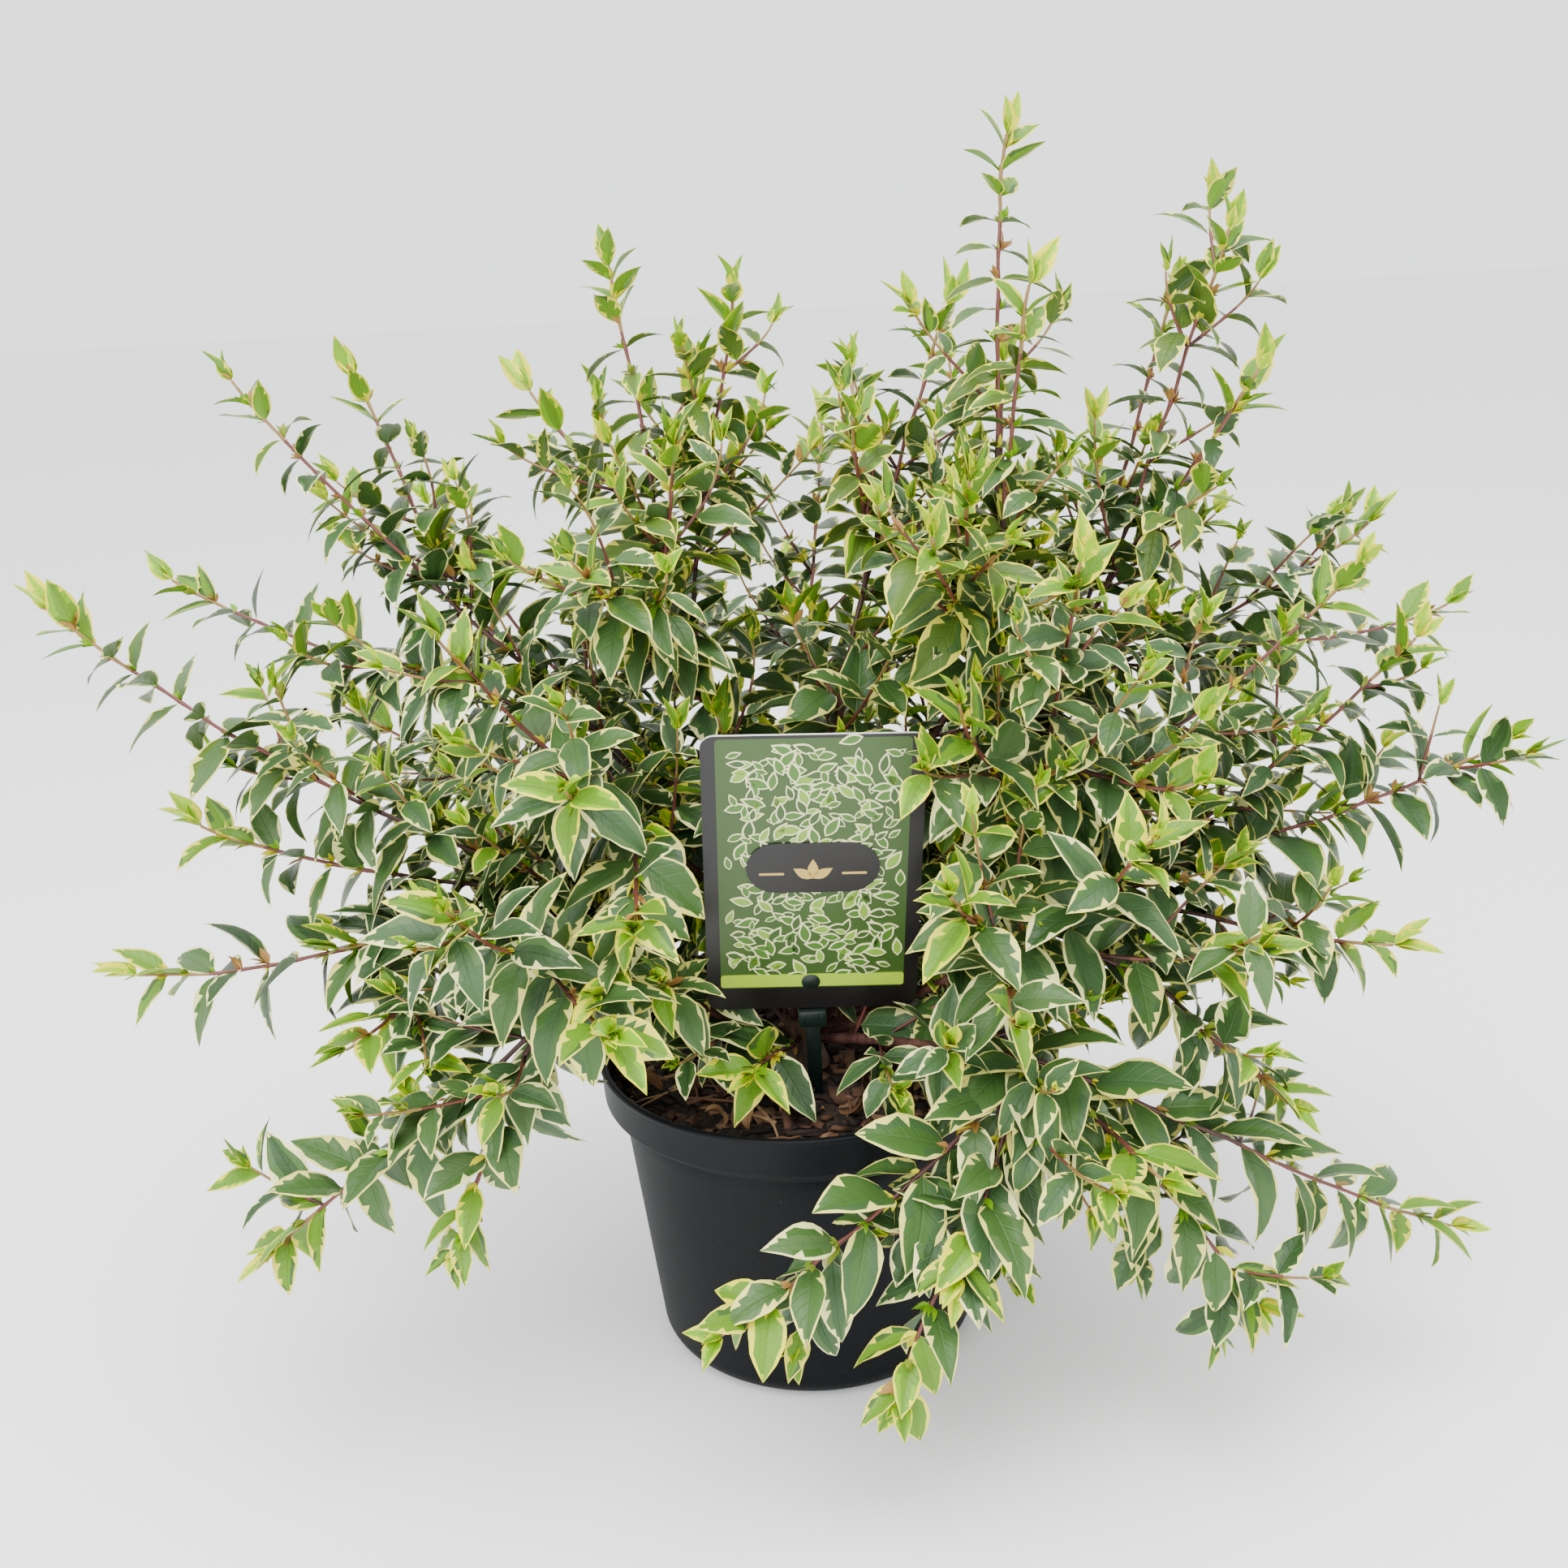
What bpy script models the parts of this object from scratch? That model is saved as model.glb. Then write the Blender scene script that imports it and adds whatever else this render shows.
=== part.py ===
"""A variegated glossy abelia in a round nursery pot, with a picture card on a pick.

The shrub is an assembly: a pot, its soil, a short woody base, canes that fork from the base,
and one mass of shoots or more at each cane's tip. Units are metres, +Z is up, the pot's flat
underside is at z = 0 on the pot's axis, and the card faces -Y.
"""

import math
import random

import bmesh
import bpy
import numpy as np
from mathutils import Matrix, Vector

OBJECT_NAME = "potted_glossy_abelia"
UP = Vector((0.0, 0.0, 1.0))
GAP = 0.0003

# Pot
POT_HEIGHT = 0.150
RIM_RADIUS = 0.100
LIP_HEIGHT = 0.020
LIP_DRAFT = 0.0015
RIM_EDGE = 0.0012
LIP_WALL = 0.0045
BODY_TOP_RADIUS = 0.0905
FOOT_RADIUS = 0.0785
FOOT_ROUND = 0.0105
WALL = 0.0025
TURN_STEPS = 36

# Soil
SOIL_LEVEL = POT_HEIGHT - 0.013
SOIL_CROWN_RADIUS = 0.055
SOIL_EDGE_DROP = 0.003

# Woody base
BASE_HEIGHT = 0.026
BASE_FOOT_RADIUS = 0.0125
BASE_NECK_RADIUS = 0.0085
BASE_HEAD_RADIUS = 0.0100
BASE_CHAMFER = 0.001
BASE_NECK_SHARE = 0.60
BASE_FLARE_SHARE = 0.25
BASE_FLARE_RADIUS = 0.0097
BASE_STEPS = 14
HEAD_RING_RADIUS = 0.0070
SIDE_START_HEIGHT = 0.017
SIDE_START_ELEVATION = math.radians(25.0)

# Canes, shoots and twigs
CANE_FOOT_RADIUS = 0.0024
CANE_TIP_RADIUS = 0.0018
CANE_BEVEL_RESOLUTION = 1
CANE_POINTS = 7
CANE_FIRST_PULL = 0.30
CANE_LAST_PULL = 0.35
CANE_OUTWARD_LEAN = 0.25
SIDE_START_APART = 34.0
HEAD_START_APART = 51.0
SHOOT_FOOT_RADIUS = 0.0012
SHOOT_TIP_RADIUS = 0.0008
SHOOT_POINTS = 5
SHOOT_FIRST_PULL = 0.24
SHOOT_LOW_SHARE = 0.62
SAG_PULL = 1.5
FORK_SHARE = 0.34
FORK_STEP = 0.12
RIM_SHOOT_RISE = 0.7
TWIG_RADIUS = 0.0007
TWIG_LENGTH = 0.024
TWIG_CHANCE = 0.12
TWIG_LEAF_SIZE = 0.8
LINE_POINTS = 13

# Leaves
LEAF_LENGTH = 0.056
LEAF_WIDTH = 0.56
LEAF_THICKNESS = 0.0011
LEAF_WIDEST = 0.42
LEAF_FOLD = 0.05
LEAF_DROOP = 0.13
LEAF_CREST = 0.48
CREST_DROOP = 0.30
YOUNG_LEAF_LOSS = 0.28
LEAF_SPREAD = math.radians(62.0)
PAIR_SPACING = 0.031
BARE_FOOT = 0.020
SEED = 4

# Free space kept round each mass
SPACE_MARGIN = 0.0009
LIMB_CLEARANCE = 0.0016
SOLID_CLEARANCE = 0.0016
LEAF_CLEARANCE = 0.0036
TWIG_CLEARANCE = 0.0030
GROUND_CLEARANCE = 0.004

# Card and pick
CARD_WIDTH = 0.095
CARD_HEIGHT = 0.145
CARD_CORNER = 0.006
CARD_THICKNESS = 0.0012
CARD_TURN = math.radians(2.5)
LABEL_FOOT = Vector((0.004, -0.030, SOIL_LEVEL))
LABEL_LEAN = math.radians(14.0)
CARD_RISE = 0.051
PICK_WIDTH = 0.0068
PICK_THICKNESS = 0.0016
PICK_DEPTH = 0.045
PICK_BACK_HEIGHT = 0.036
CLIP_WIDTH = 0.013
CLIP_HEIGHT = 0.009
CLIP_DEPTH = 0.006
CLIP_DROP = 0.001
PEG_RADIUS = 0.0024
PEG_RISE = 0.016
PEG_HEAD_RADIUS = 0.0042
PEG_HEAD_THICKNESS = 0.0014
HOLE_CUT_LENGTH = 0.012

# Each cane: azimuth in degrees round the pot's axis, reach and height of its tip, and
# whether it leaves the woody base by its side or its head.
CANES = {
    "cane_left_low": (-168, 0.085, 0.225, "side"),
    "cane_left_high": (167, 0.080, 0.290, "head"),
    "cane_front_left": (-148, 0.100, 0.212, "side"),
    "cane_front_left_high": (-152, 0.070, 0.270, "head"),
    "cane_top_left": (148, 0.045, 0.325, "head"),
    "cane_top": (30, 0.035, 0.335, "head"),
    "cane_top_right": (-8, 0.075, 0.315, "head"),
    "cane_right_high": (12, 0.115, 0.295, "head"),
    "cane_right": (-18, 0.100, 0.262, "head"),
    "cane_right_low": (0, 0.125, 0.212, "side"),
    "cane_front_right": (-33, 0.110, 0.214, "side"),
    "cane_front_right_low": (-48, 0.125, 0.182, "side"),
    "cane_back_left": (128, 0.090, 0.235, "side"),
    "cane_back": (86, 0.085, 0.250, "side"),
    "cane_back_right": (42, 0.095, 0.235, "side"),
}

# Each mass of shoots: the limb that carries it, then its leading shoots. A leading shoot is
# azimuth in degrees, reach, height, and how far its middle hangs below a straight line. The
# first starts at the limb, and the others fork from it.
MASSES = {
    "shoots_left_long": ("cane_left_low", [(-176, 0.315, 0.384, 0.020)]),
    "shoots_left_middle": ("cane_left_low", [(-174, 0.266, 0.285, 0.010)]),
    "shoots_left_low": ("cane_left_low", [(-170, 0.300, 0.225, 0.010), (-159, 0.215, 0.195, 0.008)]),
    "shoots_left_high": ("cane_left_high", [(173, 0.240, 0.473, 0.010), (158, 0.210, 0.468, 0.010)]),
    "shoots_left_upper": ("cane_left_high", [(170, 0.290, 0.382, 0.012)]),
    "shoots_front_left": ("cane_front_left", [(-129, 0.210, 0.292, 0.010), (-116, 0.172, 0.232, 0.006)]),
    "shoots_front_left_hanging": (
        "cane_front_left",
        [(-141, 0.198, 0.122, -0.018), (-157, 0.256, 0.112, -0.004)],
    ),
    "shoots_front_left_high": (
        "cane_front_left_high",
        [(-150, 0.160, 0.376, 0.010), (-124, 0.156, 0.325, 0.008)],
    ),
    "shoots_beside_card": ("cane_front_left_high", [(-116, 0.150, 0.268, 0.004)]),
    "shoots_top_left": ("cane_top_left", [(138, 0.092, 0.512, 0.004), (140, 0.150, 0.455, 0.006)]),
    "shoots_top_middle": ("cane_top_left", [(101, 0.072, 0.500, 0.000), (130, 0.050, 0.450, 0.000)]),
    "shoots_top_front_left": (
        "cane_top_left",
        [(-138, 0.112, 0.405, 0.006), (-150, 0.048, 0.441, 0.000)],
    ),
    "shoots_top": (
        "cane_top",
        [(31, 0.096, 0.487, 0.000), (64, 0.089, 0.458, 0.000), (-20, 0.037, 0.447, 0.000)],
    ),
    "shoots_tallest": ("cane_top_right", [(2, 0.104, 0.558, 0.000)]),
    "shoots_top_right": ("cane_top_right", [(-17, 0.113, 0.499, 0.000), (14, 0.108, 0.463, 0.000)]),
    "shoots_top_front": ("cane_top_right", [(-39, 0.100, 0.426, 0.004), (-57, 0.110, 0.409, 0.010)]),
    "shoots_right_high": ("cane_right_high", [(19, 0.200, 0.486, 0.004)]),
    "shoots_right_tall": ("cane_right_high", [(6, 0.204, 0.514, 0.004), (-1, 0.210, 0.457, 0.004)]),
    "shoots_right_back": ("cane_right_high", [(19, 0.314, 0.367, 0.010), (13, 0.338, 0.330, 0.014)]),
    "shoots_right_long": ("cane_right", [(-7, 0.250, 0.374, 0.016)]),
    "shoots_right_front": ("cane_right", [(-37, 0.150, 0.396, 0.008), (-30, 0.189, 0.302, 0.008)]),
    "shoots_right_middle": ("cane_right_low", [(-2, 0.283, 0.336, 0.012)]),
    "shoots_right_wide": ("cane_right_low", [(-5, 0.322, 0.291, 0.008)]),
    "shoots_right_low": ("cane_right_low", [(-12, 0.270, 0.208, 0.006)]),
    "shoots_front_right_high": ("cane_front_right", [(-43, 0.191, 0.292, 0.006)]),
    "shoots_front_right": ("cane_front_right", [(-30, 0.217, 0.232, 0.004), (-21, 0.228, 0.145, -0.006)]),
    "shoots_right_of_card": ("cane_front_right", [(-67, 0.150, 0.277, 0.006)]),
    "shoots_right_hanging": ("cane_front_right_low", [(-16, 0.300, 0.078, 0.006)]),
    "shoots_front_right_hanging": (
        "cane_front_right_low",
        [(-34, 0.228, 0.074, -0.010), (-47, 0.207, 0.153, 0.000)],
    ),
    "shoots_across_pot": ("cane_front_right_low", [(-104, 0.168, 0.098, 0.008)]),
    "shoots_front_hanging": (
        "cane_front_right_low",
        [(-80, 0.170, 0.066, -0.006), (-70, 0.170, 0.118, 0.000)],
    ),
    "shoots_over_rim": ("woody_base", [(-107, 0.083, 0.172, -0.006)]),
    "shoots_by_card_edge": ("cane_right", [(-55, 0.118, 0.342, 0.006)]),
    "shoots_back_left_high": (
        "cane_back_left",
        [(140, 0.235, 0.395, 0.010), (118, 0.190, 0.440, 0.006)],
    ),
    "shoots_back_left_low": (
        "cane_back_left",
        [(133, 0.270, 0.215, 0.008), (150, 0.270, 0.292, 0.010)],
    ),
    "shoots_back_high": ("cane_back", [(82, 0.200, 0.420, 0.008), (104, 0.235, 0.345, 0.010)]),
    "shoots_back_low": ("cane_back", [(96, 0.250, 0.180, 0.000), (76, 0.262, 0.255, 0.008)]),
    "shoots_back_right_high": (
        "cane_back_right",
        [(42, 0.235, 0.402, 0.010), (60, 0.190, 0.452, 0.006)],
    ),
    "shoots_back_right_low": (
        "cane_back_right",
        [(45, 0.268, 0.210, 0.006), (30, 0.290, 0.275, 0.010)],
    ),
}


def clear_scene():
    """Remove every object of the scene the script is run in."""
    for item in list(bpy.data.objects):
        bpy.data.objects.remove(item, do_unlink=True)


def make_collection(name):
    """Add a collection to the scene."""
    collection = bpy.data.collections.new(name)
    bpy.context.scene.collection.children.link(collection)
    return collection


def make_material(name, colour, roughness, metallic=0.0):
    """Make a Principled material from a plain colour."""
    material = bpy.data.materials.new(name)
    material.use_nodes = True
    shader = material.node_tree.nodes["Principled BSDF"]
    shader.inputs["Base Color"].default_value = (*colour, 1.0)
    shader.inputs["Roughness"].default_value = roughness
    shader.inputs["Metallic"].default_value = metallic
    material.diffuse_color = (*colour, 1.0)
    return material


def add_object(name, data, collection, material=None):
    """Put a mesh or curve into a collection as a named object."""
    item = bpy.data.objects.new(name, data)
    collection.objects.link(item)
    if material is not None:
        data.materials.append(material)
    return item


def evaluated_mesh(item):
    """Return an object's mesh with its modifiers applied."""
    bpy.context.view_layer.update()
    graph = bpy.context.evaluated_depsgraph_get()
    return bpy.data.meshes.new_from_object(item.evaluated_get(graph))


def curve_to_mesh(item, collection):
    """Replace a curve object by the closed mesh that it makes."""
    mesh = evaluated_mesh(item)
    body = bmesh.new()
    body.from_mesh(mesh)
    bmesh.ops.remove_doubles(body, verts=body.verts, dist=1e-6)
    bmesh.ops.recalc_face_normals(body, faces=body.faces)
    body.to_mesh(mesh)
    body.free()
    name = item.name
    matrix = item.matrix_world.copy()
    curve = item.data
    bpy.data.objects.remove(item, do_unlink=True)
    bpy.data.curves.remove(curve)
    solid = bpy.data.objects.new(name, mesh)
    solid.matrix_world = matrix
    collection.objects.link(solid)
    return solid


def shade_smooth(item, angle):
    """Shade a round piece smooth, with its real edges kept sharp."""
    item.data.shade_smooth()
    item.data.set_sharp_from_angle(angle=math.radians(angle))


def turned(name, profile, collection, material, steps=TURN_STEPS):
    """Turn a profile round the Z axis, given as (radius, height) from top centre to foot."""
    mesh = bpy.data.meshes.new(name)
    points = [(radius, 0.0, height) for radius, height in profile]
    edges = [(i, i + 1) for i in range(len(points) - 1)]
    mesh.from_pydata(points, edges, [])
    item = add_object(name, mesh, collection, material)
    screw = item.modifiers.new("turn", "SCREW")
    screw.axis = "Z"
    screw.steps = steps
    screw.render_steps = steps
    screw.use_merge_vertices = True
    screw.merge_threshold = 0.00001
    screw.use_smooth_shade = True
    return item


def arc(centre_radius, centre_height, size, start, end, steps):
    """List the points of a quarter round or other arc of a profile, angles in degrees."""
    points = []
    for i in range(steps + 1):
        angle = math.radians(start + (end - start) * i / steps)
        points.append((centre_radius + size * math.cos(angle), centre_height + size * math.sin(angle)))
    return points


def pot_outer_radius(height):
    """Return the outer radius of the pot's body below the lip."""
    share = (height - FOOT_ROUND) / (POT_HEIGHT - LIP_HEIGHT - FOOT_ROUND)
    return FOOT_RADIUS + (BODY_TOP_RADIUS - FOOT_RADIUS) * max(0.0, share)


def build_pot(collection, material):
    """Build the nursery pot: a tapered shell with a banded lip and a rounded foot."""
    lip_foot = POT_HEIGHT - LIP_HEIGHT
    profile = [(0.0, WALL), (FOOT_RADIUS - FOOT_ROUND, WALL)]
    profile.append((FOOT_RADIUS - WALL, FOOT_ROUND + WALL))
    profile.append((pot_outer_radius(lip_foot - WALL) - WALL, lip_foot - WALL))
    profile.append((RIM_RADIUS - LIP_WALL, lip_foot + WALL))
    profile.append((RIM_RADIUS - LIP_WALL, POT_HEIGHT - RIM_EDGE))
    profile.append((RIM_RADIUS - LIP_WALL + RIM_EDGE, POT_HEIGHT))
    profile += arc(RIM_RADIUS - RIM_EDGE, POT_HEIGHT - RIM_EDGE, RIM_EDGE, 90, 0, 2)
    profile.append((RIM_RADIUS - LIP_DRAFT, lip_foot))
    profile.append((pot_outer_radius(lip_foot), lip_foot))
    profile += arc(FOOT_RADIUS - FOOT_ROUND, FOOT_ROUND, FOOT_ROUND, 0, -90, 4)
    profile.append((0.0, 0.0))
    return turned("pot", profile, collection, material)


def build_soil(collection, cutters, material):
    """Build the potting mix: a plug that fills the pot to just below its rim."""
    lip_foot = POT_HEIGHT - LIP_HEIGHT
    clear = WALL + GAP
    edge_radius = RIM_RADIUS - LIP_WALL - GAP
    profile = [(0.0, SOIL_LEVEL), (SOIL_CROWN_RADIUS, SOIL_LEVEL)]
    profile.append((edge_radius, SOIL_LEVEL - SOIL_EDGE_DROP))
    profile.append((edge_radius, lip_foot + WALL + GAP))
    profile.append((pot_outer_radius(lip_foot - WALL) - clear, lip_foot - WALL))
    profile.append((FOOT_RADIUS - clear, FOOT_ROUND + WALL + GAP))
    profile.append((FOOT_RADIUS - FOOT_ROUND - GAP, WALL + GAP))
    profile.append((0.0, WALL + GAP))
    soil = turned("soil", profile, collection, material)
    slot = add_box(
        "pick_slot",
        (PICK_WIDTH + 2 * GAP, PICK_THICKNESS + 2 * GAP, 2 * PICK_DEPTH + 2 * GAP),
        label_place(Vector((0.0, 0.0, 0.0))),
        cutters,
    )
    cut(soil, slot)
    return soil


def build_woody_base(collection, material):
    """Build the short woody base that the canes fork from, with a flared foot."""
    top = SOIL_LEVEL + BASE_HEIGHT
    foot = SOIL_LEVEL + GAP
    profile = [(0.0, top), (BASE_HEAD_RADIUS - BASE_CHAMFER, top)]
    profile.append((BASE_HEAD_RADIUS, top - BASE_CHAMFER))
    profile.append((BASE_NECK_RADIUS, foot + BASE_NECK_SHARE * BASE_HEIGHT))
    profile.append((BASE_FLARE_RADIUS, foot + BASE_FLARE_SHARE * BASE_HEIGHT))
    profile.append((BASE_FOOT_RADIUS, foot))
    profile.append((0.0, foot))
    return turned("woody_base", profile, collection, material, BASE_STEPS)


def add_box(name, size, matrix, collection, material=None):
    """Add a box of a given size, centred on a placing matrix."""
    mesh = bpy.data.meshes.new(name)
    body = bmesh.new()
    bmesh.ops.create_cube(body, size=1.0)
    bmesh.ops.scale(body, vec=size, verts=body.verts)
    body.to_mesh(mesh)
    body.free()
    item = add_object(name, mesh, collection, material)
    item.matrix_world = matrix
    return item


def cut(item, cutter):
    """Cut one solid by another, which is kept as a hidden wire guide."""
    cutter.hide_render = True
    cutter.display_type = "WIRE"
    boolean = item.modifiers.new("cut_" + cutter.name, "BOOLEAN")
    boolean.operation = "DIFFERENCE"
    boolean.object = cutter


def label_place(offset):
    """Return the placing matrix of a point in the leaning plane of the card and pick."""
    lean = Matrix.Rotation(LABEL_LEAN, 4, "X")
    return Matrix.Translation(LABEL_FOOT) @ lean @ Matrix.Translation(offset)


def card_place():
    """Return the placing matrix of the card's centre, turned a little in its own plane."""
    turn = Matrix.Rotation(CARD_TURN, 4, "Y")
    return label_place(Vector((0.0, 0.0, CARD_RISE))) @ turn @ Matrix.Translation((0.0, 0.0, CARD_HEIGHT / 2))


def build_card(collection, cutters, material):
    """Build the picture card: a flat sheet with round corners and a hole for the pick's peg."""
    curve = bpy.data.curves.new("label_card", "CURVE")
    curve.dimensions = "2D"
    curve.fill_mode = "BOTH"
    curve.extrude = CARD_THICKNESS / 2
    outline = []
    for corner in range(4):
        side_x = 1 if corner in (0, 3) else -1
        side_y = 1 if corner in (0, 1) else -1
        centre_x = side_x * (CARD_WIDTH / 2 - CARD_CORNER)
        centre_y = side_y * (CARD_HEIGHT / 2 - CARD_CORNER)
        outline += arc(centre_x, centre_y, CARD_CORNER, 90 * corner, 90 * corner + 90, 3)
    spline = curve.splines.new("POLY")
    spline.points.add(len(outline) - 1)
    for point, (x, y) in zip(spline.points, outline):
        point.co = (x, y, 0.0, 1.0)
    spline.use_cyclic_u = True
    card = bpy.data.objects.new("label_card", curve)
    collection.objects.link(card)
    card.matrix_world = card_place() @ Matrix.Rotation(math.radians(90.0), 4, "X")
    card = curve_to_mesh(card, collection)
    card.name = "label_card"
    card.data.materials.append(material)
    hole = add_peg("peg_hole", PEG_RADIUS + GAP, HOLE_CUT_LENGTH, 0.0, cutters)
    cut(card, hole)
    return card


def add_peg(name, radius, length, depth, collection):
    """Add a round bar square to the card at the peg's place, its middle at a depth behind it."""
    mesh = bpy.data.meshes.new(name)
    body = bmesh.new()
    bmesh.ops.create_cone(
        body, cap_ends=True, segments=16, radius1=radius, radius2=radius, depth=length
    )
    body.to_mesh(mesh)
    body.free()
    item = add_object(name, mesh, collection)
    place = label_place(Vector((0.0, depth, CARD_RISE + PEG_RISE)))
    item.matrix_world = place @ Matrix.Rotation(math.radians(90.0), 4, "X")
    return item


def build_pick(collection, material):
    """Build the pick: a strip in the soil, a clip under the card and a headed peg through it."""
    rear = (CARD_THICKNESS + PICK_THICKNESS) / 2 + GAP
    clip_middle = CARD_RISE - CLIP_DROP - CLIP_HEIGHT / 2
    pick = add_box(
        "label_pick",
        (PICK_WIDTH, PICK_THICKNESS, PICK_BACK_HEIGHT),
        label_place(Vector((0.0, rear, clip_middle + PICK_BACK_HEIGHT / 2))),
        collection,
        material,
    )
    pieces = make_collection("pick_pieces")
    add_box(
        "pick_strip",
        (PICK_WIDTH, PICK_THICKNESS, PICK_DEPTH + clip_middle),
        label_place(Vector((0.0, 0.0, (clip_middle - PICK_DEPTH) / 2))),
        pieces,
    )
    add_box(
        "pick_clip",
        (CLIP_WIDTH, CLIP_DEPTH, CLIP_HEIGHT),
        label_place(Vector((0.0, 0.0, clip_middle))),
        pieces,
    )
    head_rear = -CARD_THICKNESS / 2 - GAP
    head_middle = head_rear - PEG_HEAD_THICKNESS / 2
    add_peg("pick_peg", PEG_RADIUS, rear - head_middle, (rear + head_middle) / 2, pieces)
    add_peg("pick_peg_head", PEG_HEAD_RADIUS, PEG_HEAD_THICKNESS, head_middle, pieces)
    fuse(pick, pieces)
    return pick


def fuse(item, pieces):
    """Join a collection of closed pieces to an object, and remove the pieces."""
    for solver in ("EXACT", "MANIFOLD"):
        union = item.modifiers.new("join", "BOOLEAN")
        union.operation = "UNION"
        union.operand_type = "COLLECTION"
        union.collection = pieces
        union.solver = solver
        mesh = evaluated_mesh(item)
        item.modifiers.remove(union)
        if keep_outer_body(mesh):
            break
    item.data = mesh
    for piece in list(pieces.objects):
        bpy.data.objects.remove(piece, do_unlink=True)
    bpy.data.collections.remove(pieces)


def keep_outer_body(mesh):
    """Keep the largest body of a mesh, and say whether it is closed."""
    body = bmesh.new()
    body.from_mesh(mesh)
    left = set(body.faces)
    islands = []
    while left:
        seed = left.pop()
        island = [seed]
        front = [seed]
        while front:
            face = front.pop()
            for edge in face.edges:
                for other in edge.link_faces:
                    if other in left:
                        left.remove(other)
                        island.append(other)
                        front.append(other)
        islands.append(island)
    islands.sort(key=island_volume, reverse=True)
    loose = [face for island in islands[1:] for face in island]
    bmesh.ops.delete(body, geom=loose, context="FACES")
    closed = all(len(edge.link_faces) == 2 for edge in body.edges)
    body.to_mesh(mesh)
    body.free()
    return closed


def island_volume(faces):
    """Return the signed volume of a group of faces, negative for a hollow."""
    volume = 0.0
    for face in faces:
        first = face.verts[0].co
        for i in range(1, len(face.verts) - 1):
            volume += first.dot(face.verts[i].co.cross(face.verts[i + 1].co)) / 6.0
    return volume


def at(azimuth, reach, height):
    """Return the point at an azimuth in degrees, a distance from the axis and a height."""
    angle = math.radians(azimuth)
    return Vector((reach * math.cos(angle), reach * math.sin(angle), height))


def bezier(controls, share):
    """Return the point of a cubic curve at a share of its length, from 0 to 1."""
    rest = 1.0 - share
    a, b, c, d = controls
    return a * rest ** 3 + b * (3 * rest * rest * share) + c * (3 * rest * share * share) + d * share ** 3


def heading(controls, share):
    """Return the direction of a cubic curve at a share of its length."""
    step = 0.01
    low = max(0.0, share - step)
    high = min(1.0, share + step)
    return (bezier(controls, high) - bezier(controls, low)).normalized()


def line(controls, count):
    """List evenly shared points of a cubic curve."""
    return [bezier(controls, i / (count - 1)) for i in range(count)]


def curve_length(controls):
    """Measure a cubic curve along short chords."""
    points = line(controls, LINE_POINTS)
    return sum((b - a).length for a, b in zip(points, points[1:]))


def spread_apart(angles, least):
    """Move a set of angles round the circle until neighbours are at least so far apart."""
    order = sorted(range(len(angles)), key=lambda i: angles[i])
    moved = [angles[i] for i in order]
    for _ in range(200):
        for i in range(len(moved)):
            j = (i + 1) % len(moved)
            between = moved[j] - moved[i] + (2 * math.pi if j == 0 else 0.0)
            if between < least:
                shift = (least - between) / 2
                moved[i] -= shift
                moved[j] += shift
    result = [0.0] * len(angles)
    for place, i in enumerate(order):
        result[i] = moved[place]
    return result


def cane_curve(start, first, outward, tip):
    """Return a cane's curve, which leaves along a direction and leans outward to its tip."""
    span = (tip - start).length
    arrive = (tip - start).normalized() + CANE_OUTWARD_LEAN * outward
    low = start + first * CANE_FIRST_PULL * span
    high = tip - arrive.normalized() * CANE_LAST_PULL * span
    return (start, low, high, tip)


def lay_out_canes():
    """Work out each cane's curve from the woody base to its tip."""
    curves = {}
    for kind, least in (("side", SIDE_START_APART), ("head", HEAD_START_APART)):
        names = [name for name, cane in CANES.items() if cane[3] == kind]
        starts = spread_apart([math.radians(CANES[name][0]) for name in names], math.radians(least))
        for name, angle in zip(names, starts):
            outward = Vector((math.cos(angle), math.sin(angle), 0.0))
            if kind == "side":
                rise = SIDE_START_ELEVATION
                clear = BASE_HEAD_RADIUS + GAP + CANE_FOOT_RADIUS * math.sin(rise)
                start = outward * clear + UP * (SOIL_LEVEL + SIDE_START_HEIGHT)
                first = outward * math.cos(rise) + UP * math.sin(rise)
            else:
                start = outward * HEAD_RING_RADIUS + UP * (SOIL_LEVEL + BASE_HEIGHT + GAP)
                first = UP
            azimuth, reach, height, _ = CANES[name]
            tip = at(azimuth, reach, height)
            curve = cane_curve(start, first, outward, tip)
            if kind == "head":
                lean = bezier(curve, 1 / (CANE_POINTS - 1)) - start
                start += UP * (CANE_FOOT_RADIUS * math.hypot(lean.x, lean.y) / lean.length)
                curve = cane_curve(start, first, outward, tip)
            curves[name] = curve
    return curves


def fork_starts(tip, along, goals):
    """Share out the places at a limb's tip where its masses start, each facing its own goal."""
    if len(goals) == 1:
        return [tip + along * GAP]
    side = along.orthogonal().normalized()
    across = along.cross(side)
    mean = sum(goals, Vector()) / len(goals)
    angles = [math.atan2((goal - mean).dot(across), (goal - mean).dot(side)) for goal in goals]
    order = sorted(range(len(goals)), key=lambda i: angles[i])
    turn = 2 * math.pi / len(goals)
    lean_x = sum(math.cos(angles[i] - turn * k) for k, i in enumerate(order))
    lean_y = sum(math.sin(angles[i] - turn * k) for k, i in enumerate(order))
    first = math.atan2(lean_y, lean_x)
    ring = (SHOOT_FOOT_RADIUS + GAP) / math.sin(turn / 2)
    starts = [None] * len(goals)
    for k, i in enumerate(order):
        angle = first + turn * k
        starts[i] = tip + along * GAP + (side * math.cos(angle) + across * math.sin(angle)) * ring
    return starts


def shoot_curve(start, first, goal, sag):
    """Return a shoot's curve, which leaves along a direction and sags before it rises."""
    span = goal - start
    low = start + span * SHOOT_LOW_SHARE - UP * (SAG_PULL * sag)
    return (start, start + first * SHOOT_FIRST_PULL * span.length, low, goal)


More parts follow.
